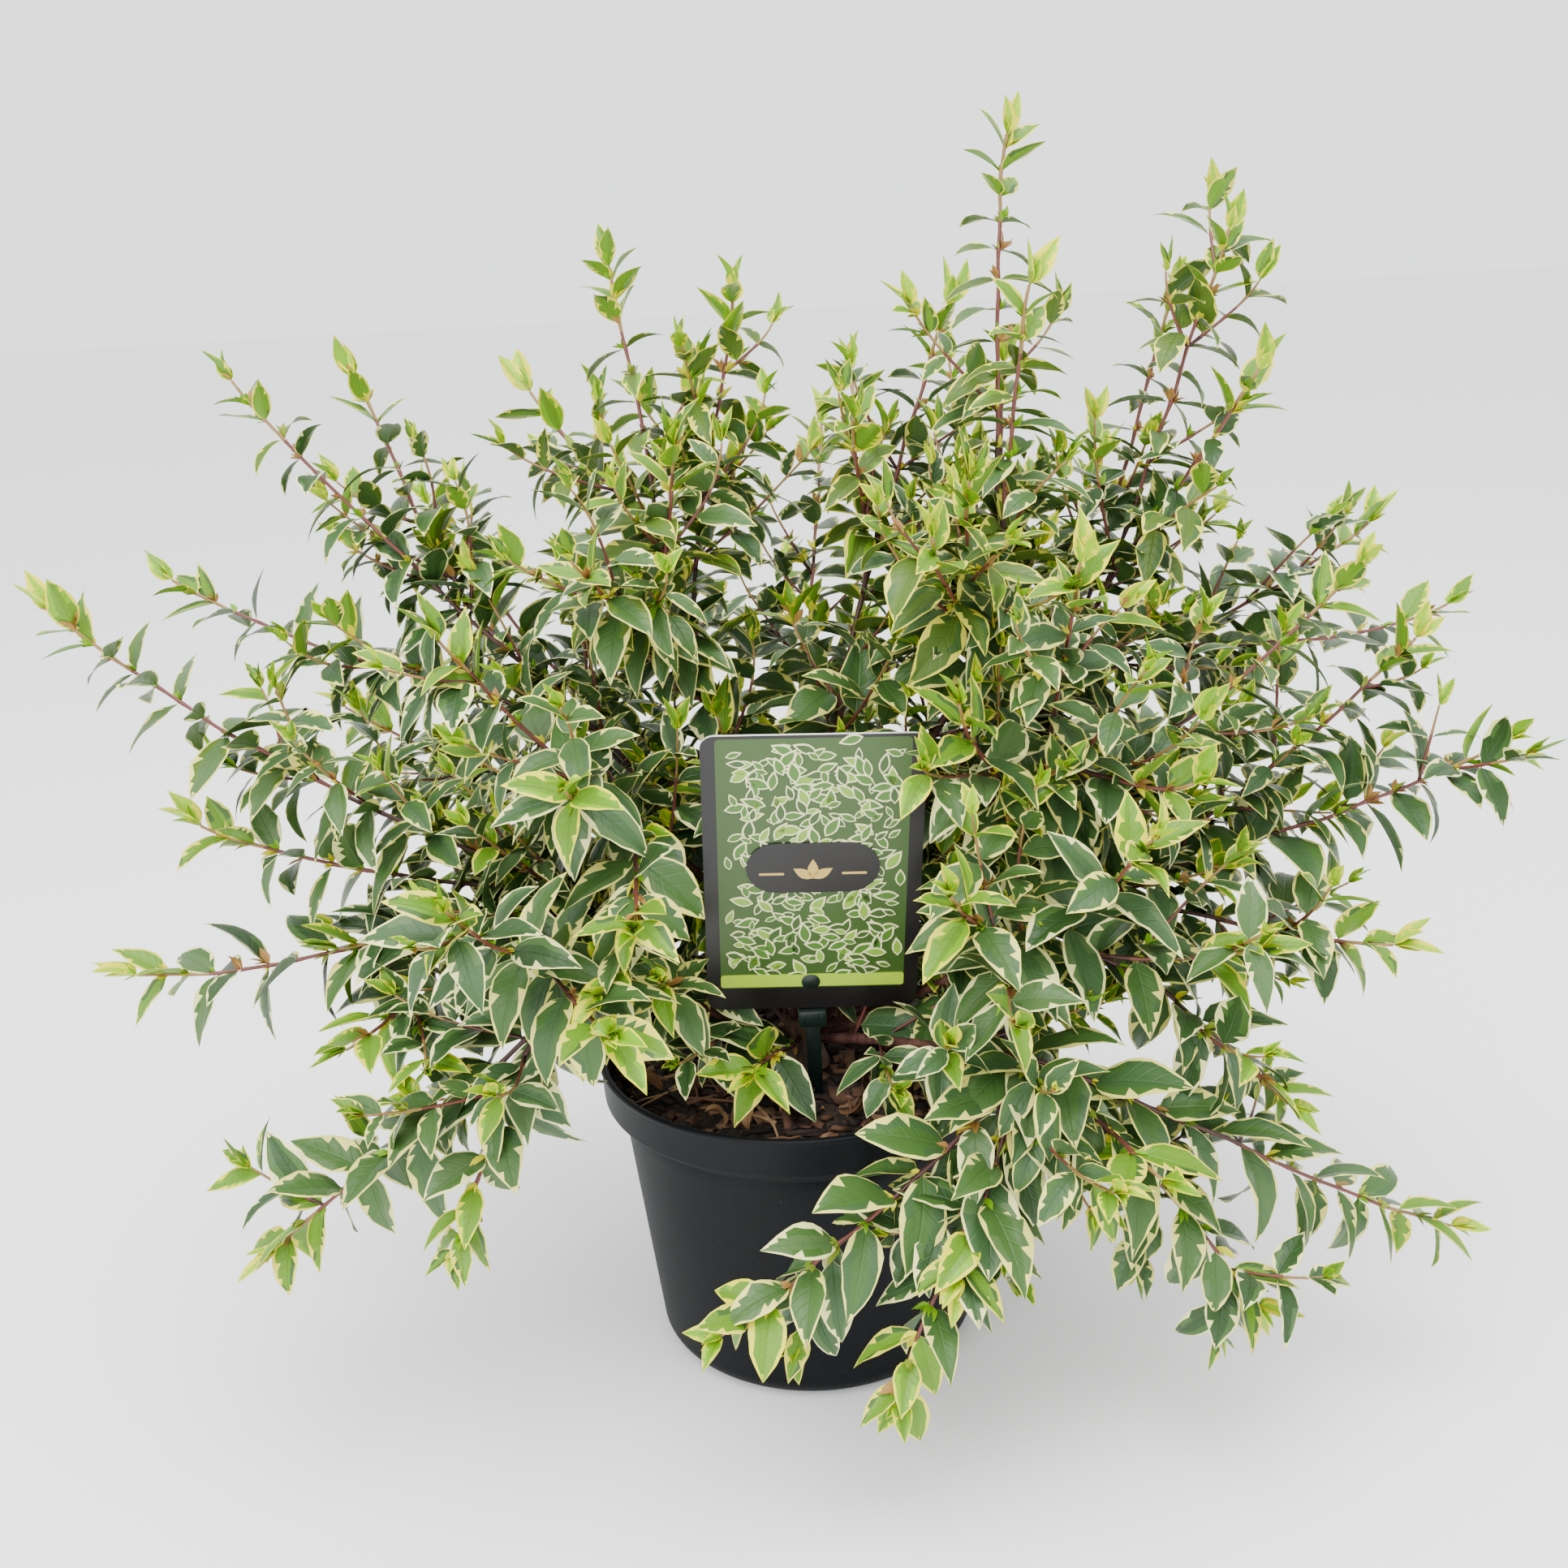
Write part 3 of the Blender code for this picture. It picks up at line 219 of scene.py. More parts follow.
# Each mass of shoots: the limb that carries it, then its leading shoots. A leading shoot is
# azimuth in degrees, reach, height, and how far its middle hangs below a straight line. The
# first starts at the limb, and the others fork from it.
MASSES = {
    "shoots_left_long": ("cane_left_low", [(-176, 0.315, 0.384, 0.020)]),
    "shoots_left_middle": ("cane_left_low", [(-174, 0.266, 0.285, 0.010)]),
    "shoots_left_low": ("cane_left_low", [(-170, 0.300, 0.225, 0.010), (-159, 0.215, 0.195, 0.008)]),
    "shoots_left_high": ("cane_left_high", [(173, 0.240, 0.473, 0.010), (158, 0.210, 0.468, 0.010)]),
    "shoots_left_upper": ("cane_left_high", [(170, 0.290, 0.382, 0.012)]),
    "shoots_front_left": ("cane_front_left", [(-129, 0.210, 0.292, 0.010), (-116, 0.172, 0.232, 0.006)]),
    "shoots_front_left_hanging": (
        "cane_front_left",
        [(-141, 0.198, 0.122, -0.018), (-157, 0.256, 0.112, -0.004)],
    ),
    "shoots_front_left_high": (
        "cane_front_left_high",
        [(-150, 0.160, 0.376, 0.010), (-124, 0.156, 0.325, 0.008)],
    ),
    "shoots_beside_card": ("cane_front_left_high", [(-116, 0.150, 0.268, 0.004)]),
    "shoots_top_left": ("cane_top_left", [(138, 0.092, 0.512, 0.004), (140, 0.150, 0.455, 0.006)]),
    "shoots_top_middle": ("cane_top_left", [(101, 0.072, 0.500, 0.000), (130, 0.050, 0.450, 0.000)]),
    "shoots_top_front_left": (
        "cane_top_left",
        [(-138, 0.112, 0.405, 0.006), (-150, 0.048, 0.441, 0.000)],
    ),
    "shoots_top": (
        "cane_top",
        [(31, 0.096, 0.487, 0.000), (64, 0.089, 0.458, 0.000), (-20, 0.037, 0.447, 0.000)],
    ),
    "shoots_tallest": ("cane_top_right", [(2, 0.104, 0.558, 0.000)]),
    "shoots_top_right": ("cane_top_right", [(-17, 0.113, 0.499, 0.000), (14, 0.108, 0.463, 0.000)]),
    "shoots_top_front": ("cane_top_right", [(-39, 0.100, 0.426, 0.004), (-57, 0.110, 0.409, 0.010)]),
    "shoots_right_high": ("cane_right_high", [(19, 0.200, 0.486, 0.004)]),
    "shoots_right_tall": ("cane_right_high", [(6, 0.204, 0.514, 0.004), (-1, 0.210, 0.457, 0.004)]),
    "shoots_right_back": ("cane_right_high", [(19, 0.314, 0.367, 0.010), (13, 0.338, 0.330, 0.014)]),
    "shoots_right_long": ("cane_right", [(-7, 0.250, 0.374, 0.016)]),
    "shoots_right_front": ("cane_right", [(-37, 0.150, 0.396, 0.008), (-30, 0.189, 0.302, 0.008)]),
    "shoots_right_middle": ("cane_right_low", [(-2, 0.283, 0.336, 0.012)]),
    "shoots_right_wide": ("cane_right_low", [(-5, 0.322, 0.291, 0.008)]),
    "shoots_right_low": ("cane_right_low", [(-12, 0.270, 0.208, 0.006)]),
    "shoots_front_right_high": ("cane_front_right", [(-43, 0.191, 0.292, 0.006)]),
    "shoots_front_right": ("cane_front_right", [(-30, 0.217, 0.232, 0.004), (-21, 0.228, 0.145, -0.006)]),
    "shoots_right_of_card": ("cane_front_right", [(-67, 0.150, 0.277, 0.006)]),
    "shoots_right_hanging": ("cane_front_right_low", [(-16, 0.300, 0.078, 0.006)]),
    "shoots_front_right_hanging": (
        "cane_front_right_low",
        [(-34, 0.228, 0.074, -0.010), (-47, 0.207, 0.153, 0.000)],
    ),
    "shoots_across_pot": ("cane_front_right_low", [(-104, 0.168, 0.098, 0.008)]),
    "shoots_front_hanging": (
        "cane_front_right_low",
        [(-80, 0.170, 0.066, -0.006), (-70, 0.170, 0.118, 0.000)],
    ),
    "shoots_over_rim": ("woody_base", [(-107, 0.083, 0.172, -0.006)]),
    "shoots_by_card_edge": ("cane_right", [(-55, 0.118, 0.342, 0.006)]),
    "shoots_back_left_high": (
        "cane_back_left",
        [(140, 0.235, 0.395, 0.010), (118, 0.190, 0.440, 0.006)],
    ),
    "shoots_back_left_low": (
        "cane_back_left",
        [(133, 0.270, 0.215, 0.008), (150, 0.270, 0.292, 0.010)],
    ),
    "shoots_back_high": ("cane_back", [(82, 0.200, 0.420, 0.008), (104, 0.235, 0.345, 0.010)]),
    "shoots_back_low": ("cane_back", [(96, 0.250, 0.180, 0.000), (76, 0.262, 0.255, 0.008)]),
    "shoots_back_right_high": (
        "cane_back_right",
        [(42, 0.235, 0.402, 0.010), (60, 0.190, 0.452, 0.006)],
    ),
    "shoots_back_right_low": (
        "cane_back_right",
        [(45, 0.268, 0.210, 0.006), (30, 0.290, 0.275, 0.010)],
    ),
}

# How thickly the side shoots of a mass stand, where it isn't 1: thin where the pot shows
SIDE_GROWTH = {
    "shoots_top_middle": 1.1,
    "shoots_top": 1.3,
    "shoots_top_front_left": 1.4,
    "shoots_top_front": 1.3,
    "shoots_tallest": 0.6,
    "shoots_across_pot": 0.1,
    "shoots_front_hanging": 0.5,
    "shoots_over_rim": 0.5,
    "shoots_right_hanging": 0.5,
    "shoots_front_left_hanging": 0.7,
}


def linear(red, green, blue):
    """Turn a screen colour of 0 to 255 into the shader's linear values."""
    return tuple((value / 255.0) ** 2.2 for value in (red, green, blue))


class Shade:
    """A value in a material's nodes, which takes part in Python expressions."""

    def __init__(self, finish, outlet):
        self.finish = finish
        self.outlet = outlet

    def out(self, outlet):
        """Return another outlet of the same node."""
        return Shade(self.finish, self.outlet.node.outputs[outlet])

    def work(self, operation, *values):
        return self.finish.node("ShaderNodeMath", {"operation": operation}, dict(enumerate(values)))

    def __add__(self, other):
        return self.work("ADD", self, other)

    def __radd__(self, other):
        return self.work("ADD", other, self)

    def __sub__(self, other):
        return self.work("SUBTRACT", self, other)

    def __rsub__(self, other):
        return self.work("SUBTRACT", other, self)

    def __mul__(self, other):
        return self.work("MULTIPLY", self, other)

    def __rmul__(self, other):
        return self.work("MULTIPLY", other, self)

    def __abs__(self):
        return self.work("ABSOLUTE", self)

    def fraction(self):
        return self.work("FRACT", self)

    def at_most(self, other):
        return self.work("MINIMUM", self, other)


class Finish:
    """A material in the making: a Principled shader and the nodes that feed it."""

    def __init__(self, name, colour, roughness, gloss=0.5):
        self.material = bpy.data.materials.new(name)
        self.material.use_nodes = True
        self.tree = self.material.node_tree
        self.shader = self.tree.nodes["Principled BSDF"]
        self.set("Base Color", (*colour, 1.0))
        self.set("Roughness", roughness)
        self.set("Specular IOR Level", gloss)
        self.material.diffuse_color = (*colour, 1.0)

    def node(self, kind, settings=None, inputs=None, outlet=0):
        """Add a node by its type, its settings, and the values or links of its sockets."""
        made = self.tree.nodes.new(kind)
        for key, value in (settings or {}).items():
            setattr(made, key, value)
        for key, value in (inputs or {}).items():
            self.feed(made.inputs[key], value)
        return Shade(self, made.outputs[outlet])

    def feed(self, socket, value):
        if isinstance(value, Shade):
            self.tree.links.new(value.outlet, socket)
        else:
            socket.default_value = value

    def set(self, socket, value):
        self.feed(self.shader.inputs[socket], value)

    def place(self, stretch):
        """Return the place on the object, stretched along its axes."""
        spot = self.node("ShaderNodeTexCoord", outlet="Object")
        return self.node("ShaderNodeVectorMath", {"operation": "MULTIPLY"}, {0: spot, 1: stretch})

    def grain(self, scale, detail=4.0, stretch=(1.0, 1.0, 1.0)):
        """Return a noise from 0 to 1 in the object's own space."""
        inputs = {"Vector": self.place(stretch), "Scale": scale, "Detail": detail}
        return self.node("ShaderNodeTexNoise", None, inputs)

    def between(self, value, low, high):
        """Return 0 below one value, 1 above another, and an even slope between them."""
        return self.node("ShaderNodeMapRange", None, {0: value, 1: low, 2: high, 3: 0.0, 4: 1.0})

    def blend(self, share, first, second):
        """Mix two colours, given as colours or as earlier mixes."""
        first = first if isinstance(first, Shade) else (*first, 1.0)
        second = second if isinstance(second, Shade) else (*second, 1.0)
        return self.node("ShaderNodeMix", {"data_type": "RGBA"}, {0: share, 6: first, 7: second}, 2)

    def relief(self, height, strength, depth):
        """Raise the surface's shading by a height."""
        inputs = {"Strength": strength, "Distance": depth, "Height": height}
        self.set("Normal", self.node("ShaderNodeBump", None, inputs))


def pot_finish():
    """Matt blue-black plastic with faint upright streaks and a little pale dust."""
    finish = Finish("pot_plastic", linear(10, 14, 20), 0.5, 0.15)
    streak = finish.grain(26.0, 5.0, (1.0, 1.0, 0.10))
    dust = finish.between(finish.grain(900.0, 2.0), 0.70, 0.78)
    cloud = finish.between(finish.grain(14.0, 4.0), 0.35, 0.75)
    plain = finish.blend(finish.between(streak, 0.35, 0.70), linear(4, 7, 11), linear(9, 13, 19))
    dusty = finish.blend(cloud * 0.16, plain, linear(26, 30, 36))
    finish.set("Base Color", finish.blend(dust * 0.45, dusty, linear(78, 80, 82)))
    finish.set("Roughness", 0.46 + streak * 0.18 + dust * 0.2)
    finish.relief(finish.grain(700.0, 3.0) + streak * 2.0, 0.16, 0.0003)
    return finish.material


def soil_finish():
    """Dark bark mulch: blackish crumbs with brown fibres."""
    finish = Finish("potting_mix", linear(45, 34, 27), 0.95)
    crumb = finish.grain(260.0, 6.0)
    fibre = finish.grain(90.0, 5.0, (1.0, 3.0, 1.0))
    dark = finish.blend(finish.between(crumb, 0.35, 0.65), linear(22, 17, 14), linear(58, 44, 34))
    finish.set("Base Color", finish.blend(finish.between(fibre, 0.56, 0.72), dark, linear(98, 74, 54)))
    finish.set("Roughness", 0.86 + crumb * 0.1)
    finish.relief(crumb + fibre, 0.8, 0.002)
    return finish.material


def bark_finish(name, dark, light, grey):
    """Bark with long strips, paler where it peels."""
    finish = Finish(name, dark, 0.6)
    strip = finish.grain(300.0, 4.0, (1.0, 1.0, 0.18))
    patch = finish.grain(60.0, 3.0)
    plain = finish.blend(finish.between(strip, 0.38, 0.66), dark, light)
    finish.set("Base Color", finish.blend(finish.between(patch, 0.58, 0.74) * 0.6, plain, grey))
    finish.set("Roughness", 0.5 + strip * 0.3)
    finish.relief(strip + patch * 0.5, 0.5, 0.0008)
    return finish.material


def twig_finish(name, colour, roughness=0.45):
    """The smooth rind of a young stem, with a fine grain along it."""
    finish = Finish(name, colour, roughness)
    rind = finish.grain(500.0, 3.0)
    finish.set("Roughness", roughness - 0.08 + rind * 0.16)
    finish.relief(rind, 0.35, 0.0003)
    return finish.material


def leaf_finish(name, colour, roughness=0.42):
    """A leaf in one colour: a waxy face with a midrib groove, arching veins and a fine grain."""
    finish = Finish(name, colour, roughness, 0.32)
    mark = finish.node("ShaderNodeUVMap", {"uv_map": "blade"})
    along = finish.node("ShaderNodeSeparateXYZ", None, {0: mark})
    across = abs(along.out(1) * 2.0 - 1.0)
    midrib = 1.0 - (across * 13.0).at_most(1.0)
    vein = abs((along * 6.5 - across * 1.5).fraction() - 0.5) * 2.0
    grain = finish.grain(420.0, 3.0)
    finish.relief(grain * 0.30 - midrib * 1.1 - finish.between(vein, 0.78, 1.0) * 0.5, 0.42, 0.0006)
    finish.set("Roughness", roughness - 0.07 + grain * 0.14)
    return finish.material


def matt_finish(name, colour, roughness, scale=180.0, depth=0.0008):
    """A plain dry stuff, such as a bark chip, with a rough grain."""
    finish = Finish(name, colour, roughness)
    grain = finish.grain(scale, 5.0, (1.0, 1.0, 0.5))
    finish.set("Roughness", roughness - 0.1 + grain * 0.2)
    finish.relief(grain, 0.6, depth)
    return finish.material


def print_finish(name, colour, roughness=0.34):
    """Coated card in one ink, with a faint waviness."""
    finish = Finish(name, colour, roughness)
    wave = finish.grain(45.0, 2.0)
    finish.set("Roughness", roughness - 0.05 + wave * 0.1)
    finish.relief(wave + finish.grain(1600.0, 2.0) * 0.1, 0.12, 0.0006)
    return finish.material


def at(azimuth, reach, height):
    """Return the point at an azimuth in degrees, a distance from the axis and a height."""
    angle = math.radians(azimuth)
    return Vector((reach * math.cos(angle), reach * math.sin(angle), height))


def bezier(controls, share):
    """Return the point of a cubic curve at a share of its length, from 0 to 1."""
    rest = 1.0 - share
    a, b, c, d = controls
    return a * rest ** 3 + b * (3 * rest * rest * share) + c * (3 * rest * share * share) + d * share ** 3


def heading(controls, share):
    """Return the direction of a cubic curve at a share of its length."""
    step = 0.01
    low = max(0.0, share - step)
    high = min(1.0, share + step)
    return (bezier(controls, high) - bezier(controls, low)).normalized()


def line(controls, count):
    """List evenly shared points of a cubic curve."""
    return [bezier(controls, i / (count - 1)) for i in range(count)]


def spread_apart(angles, least):
    """Move a set of angles round the circle until neighbours are at least so far apart."""
    order = sorted(range(len(angles)), key=lambda i: angles[i])
    moved = [angles[i] for i in order]
    for _ in range(200):
        for i in range(len(moved)):
            j = (i + 1) % len(moved)
            between = moved[j] - moved[i] + (2 * math.pi if j == 0 else 0.0)
            if between < least:
                shift = (least - between) / 2
                moved[i] -= shift
                moved[j] += shift
    result = [0.0] * len(angles)
    for place, i in enumerate(order):
        result[i] = moved[place]
    return result


def cane_curve(start, first, outward, tip):
    """Return a cane's curve, which leaves along a direction and leans outward to its tip."""
    span = (tip - start).length
    arrive = (tip - start).normalized() + CANE_OUTWARD_LEAN * outward
    low = start + first * CANE_FIRST_PULL * span
    high = tip - arrive.normalized() * CANE_LAST_PULL * span
    return (start, low, high, tip)


def lay_out_canes():
    """Work out each cane's curve from the woody base to its tip."""
    curves = {}
    for kind, least in (("side", SIDE_START_APART), ("head", HEAD_START_APART)):
        names = [name for name, cane in CANES.items() if cane[3] == kind]
        starts = spread_apart([math.radians(CANES[name][0]) for name in names], math.radians(least))
        for name, angle in zip(names, starts):
            outward = Vector((math.cos(angle), math.sin(angle), 0.0))
            if kind == "side":
                rise = SIDE_START_ELEVATION
                clear = BASE_HEAD_RADIUS + GAP + CANE_FOOT_RADIUS * math.sin(rise)
                start = outward * clear + UP * (SOIL_LEVEL + SIDE_START_HEIGHT)
                first = outward * math.cos(rise) + UP * math.sin(rise)
            else:
                start = outward * HEAD_RING_RADIUS + UP * (SOIL_LEVEL + BASE_HEIGHT + GAP)
                first = UP
            azimuth, reach, height, _ = CANES[name]
            tip = at(azimuth, reach, height)
            curve = cane_curve(start, first, outward, tip)
            if kind == "head":
                lean = bezier(curve, 1 / (CANE_POINTS - 1)) - start
                start += UP * (CANE_FOOT_RADIUS * math.hypot(lean.x, lean.y) / lean.length)
                curve = cane_curve(start, first, outward, tip)
            curves[name] = curve
    return curves


def fork_starts(tip, along, goals):
    """Share out the places at a limb's tip where its masses start, each facing its own goal."""
    if len(goals) == 1:
        return [tip + along * GAP]
    side = along.orthogonal().normalized()
    across = along.cross(side)
    mean = sum(goals, Vector()) / len(goals)
    angles = [math.atan2((goal - mean).dot(across), (goal - mean).dot(side)) for goal in goals]
    order = sorted(range(len(goals)), key=lambda i: angles[i])
    turn = 2 * math.pi / len(goals)
    lean_x = sum(math.cos(angles[i] - turn * k) for k, i in enumerate(order))
    lean_y = sum(math.sin(angles[i] - turn * k) for k, i in enumerate(order))
    first = math.atan2(lean_y, lean_x)
    ring = (SHOOT_FOOT_RADIUS + GAP) / math.sin(turn / 2)
    starts = [None] * len(goals)
    for k, i in enumerate(order):
        angle = first + turn * k
        starts[i] = tip + along * GAP + (side * math.cos(angle) + across * math.sin(angle)) * ring
    return starts


def shoot_curve(start, first, goal, sag):
    """Return a shoot's curve, which leaves along a direction and sags before it rises."""
    span = goal - start
    low = start + span * SHOOT_LOW_SHARE - UP * (SAG_PULL * sag)
    return (start, start + first * SHOOT_FIRST_PULL * span.length, low, goal)


def lay_out_shoots(cane_curves):
    """Work out the leading shoots of every mass as curves."""
    groups = {}
    for name, (limb, _) in MASSES.items():
        groups.setdefault(limb, []).append(name)
    shoots = {}
    for limb, names in groups.items():
        goals = [at(*MASSES[name][1][0][:3]) for name in names]
        if limb == "woody_base":
            starts = []
            for goal in goals:
                outward = Vector((goal.x, goal.y, 0.0)).normalized()
                rise = SOIL_LEVEL + RIM_SHOOT_RISE * BASE_HEIGHT
                starts.append(outward * (BASE_HEAD_RADIUS + GAP) + UP * rise)
            firsts = [Vector((start.x, start.y, 0.0)).normalized() for start in starts]
        else:
            tip = cane_curves[limb][3]
            along = heading(cane_curves[limb], 1.0)
            headings = [(goal - tip).normalized() for goal in goals]
            starts = fork_starts(tip, along, headings)
            firsts = [along] * len(starts)
        for name, start, first, goal in zip(names, starts, firsts, goals):
            leaders = MASSES[name][1]
            main = shoot_curve(start, first, goal, leaders[0][3])
            shoots[name] = [main]
            for number, (azimuth, reach, height, sag) in enumerate(leaders[1:]):
                share = FORK_SHARE - FORK_STEP * number
                foot = bezier(main, share)
                shoots[name].append(shoot_curve(foot, heading(main, share), at(azimuth, reach, height), sag))
    return shoots


def label_place(offset):
    """Return the placing matrix of a point in the leaning plane of the card and pick."""
    lean = Matrix.Rotation(LABEL_LEAN, 4, "X")
    return Matrix.Translation(LABEL_FOOT) @ lean @ Matrix.Translation(offset)


def card_place():
    """Return the placing matrix of the card's centre, turned a little in its own plane."""
    turn = Matrix.Rotation(CARD_TURN, 4, "Y")
    return label_place(Vector((0.0, 0.0, CARD_RISE))) @ turn @ Matrix.Translation((0.0, 0.0, CARD_HEIGHT / 2))


def pot_outer_radius(height):
    """Return the outer radius of the pot's body below the lip."""
    share = (height - FOOT_ROUND) / (POT_HEIGHT - LIP_HEIGHT - FOOT_ROUND)
    return FOOT_RADIUS + (BODY_TOP_RADIUS - FOOT_RADIUS) * max(0.0, share)


def arc(centre_radius, centre_height, size, start, end, steps):
    """List the points of a quarter round or other arc of a profile, angles in degrees."""
    points = []
    for i in range(steps + 1):
        angle = math.radians(start + (end - start) * i / steps)
        points.append((centre_radius + size * math.cos(angle), centre_height + size * math.sin(angle)))
    return points


def level_outward(point):
    """Return the level direction from the pot's axis through a point."""
    flat = Vector((point.x, point.y, 0.0))
    return flat.normalized() if flat.length > 1e-4 else Vector((0.0, -1.0, 0.0))


def round_stem(along, angle):
    """Return the direction square to a stem at an angle round it, from its level side."""
    level = along.cross(UP)
    level = level.normalized() if level.length > 0.05 else Vector((1.0, 0.0, 0.0))
    return level * math.cos(angle) + level.cross(along) * math.sin(angle)


def tumbled(spin, roll, pitch):
    """Return the turn of a thing that has dropped on the mix, as rows for its points."""
    turn = Matrix.Rotation(spin, 3, "Z") @ Matrix.Rotation(roll, 3, "X")
    return np.array(turn @ Matrix.Rotation(pitch, 3, "Y")).T


def put(name, data):
    """Put a mesh, light or camera in the scene."""
    item = bpy.data.objects.new(name, data)
    bpy.context.scene.collection.objects.link(item)
    return item


def piece(name, mesh, nodes=()):
    """Show a mesh as a piece of the plant, pot or card, which stands for CAD nodes."""
    item = put(name, mesh)
    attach(item, "root")
    if nodes:
        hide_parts(*nodes)


def plain_mesh(name, body, materials, sharp=None):
    """Turn a bmesh into a mesh with its finishes, shaded smooth between sharp edges."""
    bmesh.ops.recalc_face_normals(body, faces=body.faces)
    mesh = bpy.data.meshes.new(name)
    body.to_mesh(mesh)
    body.free()
    for material in materials:
        mesh.materials.append(material)
    if sharp is not None:
        mesh.shade_smooth()
        mesh.set_sharp_from_angle(angle=math.radians(sharp))
    return mesh


def turned(profile, steps, shape=None):
    """Turn a profile of (radius, height) round the Z axis, each point moved by a shape."""
    body = bmesh.new()
    rings = []
    for number, (radius, height) in enumerate(profile):
        if radius < 1e-6:
            rings.append([body.verts.new((0.0, 0.0, height))])
            continue
        ring = []
        for i in range(steps):
            angle = 2 * math.pi * i / steps
            point = Vector((radius * math.cos(angle), radius * math.sin(angle), height))
            ring.append(body.verts.new(shape(point, number) if shape else point))
        rings.append(ring)
    for low, high in zip(rings, rings[1:]):
        for i in range(steps):
            j = (i + 1) % steps
            corners = [low[i % len(low)], low[j % len(low)], high[j % len(high)], high[i % len(high)]]
            body.faces.new(list(dict.fromkeys(corners)))
    return body


class Sprays:
    """Leaves or stems gathered for one joined mesh of triangles."""

    def __init__(self):
        self.points = []
        self.faces = []
        self.slots = []
        self.marks = []
        self.count = 0

    def add(self, points, faces, slots, marks):
        self.points.append(points)
        self.faces.append(faces + self.count)
        self.slots.append(slots)
        self.marks.append(marks)
        self.count += len(points)

    def mesh(self, name, materials, smooth=True):
        points = np.concatenate(self.points).astype(np.float32)
        faces = np.concatenate(self.faces).astype(np.int32)
        marks = np.concatenate(self.marks).astype(np.float32)
        mesh = bpy.data.meshes.new(name)
        mesh.vertices.add(len(points))
        mesh.vertices.foreach_set("co", points.ravel())
        mesh.loops.add(faces.size)
        mesh.loops.foreach_set("vertex_index", faces.ravel())
        mesh.polygons.add(len(faces))
        mesh.polygons.foreach_set("loop_start", np.arange(0, faces.size, 3, dtype=np.int32))
        mesh.polygons.foreach_set("material_index", np.concatenate(self.slots).astype(np.int32))
        layer = mesh.uv_layers.new(name="blade")
        layer.data.foreach_set("uv", marks[faces.ravel()].ravel())
        for material in materials:
            mesh.materials.append(material)
        mesh.update(calc_edges=True)
        if smooth:
            mesh.shade_smooth()
        print(name, "triangles", len(faces))
        return mesh


def tube(points, radii, sides, slots):
    """Return a capped tube along points: its points, faces, slots and marks."""
    points = np.asarray(points, float)
    radii = np.asarray(radii, float)
    if radii.ndim == 1:
        radii = np.repeat(radii[:, None], sides, axis=1)
    count = len(points)
    tangents = np.gradient(points, axis=0)
    tangents /= np.linalg.norm(tangents, axis=1)[:, None]
    side = np.array(Vector(tangents[0]).orthogonal())
    rails = []
    for tangent in tangents:
        side = side - tangent * side.dot(tangent)
        side = side / np.linalg.norm(side)
        rails.append(side)
    rails = np.array(rails)
    across = np.cross(tangents, rails)
    angle = np.arange(sides) * 2 * math.pi / sides
    ring = np.cos(angle)[None, :, None] * rails[:, None, :]
    ring = ring + np.sin(angle)[None, :, None] * across[:, None, :]
    body = (points[:, None, :] + ring * radii[:, :, None]).reshape(-1, 3)
    verts = np.vstack([body, points[0], points[-1]])
    i = np.arange(count - 1)[:, None] * sides
    j = np.arange(sides)[None, :]
    k = (j + 1) % sides
    a, b, c, d = (i + j).ravel(), (i + k).ravel(), (i + sides + k).ravel(), (i + sides + j).ravel()
    j, k = j.ravel(), k.ravel()
    last = (count - 1) * sides
    foot = np.stack([np.full(sides, count * sides), k, j], axis=1)
    tip = np.stack([np.full(sides, count * sides + 1), last + j, last + k], axis=1)
    faces = np.vstack([np.stack([a, b, c], axis=1), np.stack([a, c, d], axis=1), foot, tip])
    slots = np.asarray(slots)
    wall = np.repeat(slots, sides)
    ends = np.concatenate([np.full(sides, slots[0]), np.full(sides, slots[-1])])
    share = np.repeat(np.arange(count) / (count - 1), sides)
    marks = np.stack([share, np.tile(angle / (2 * math.pi), count)], axis=1)
    marks = np.vstack([marks, [[0.0, 0.5], [1.0, 0.5]]])
    return verts, faces, np.concatenate([wall, wall, ends]), marks


# Leaves

STALK = 0.05
FULL_STATIONS = np.array([0.0, 0.05, 0.12, 0.21, 0.32, 0.44, 0.56, 0.68, 0.79, 0.90, 1.0])
SMALL_STATIONS = np.array([0.0, 0.10, 0.35, 0.62, 0.84, 1.0])
CENTRE, SECOND, MARGIN = 0, 1, 2


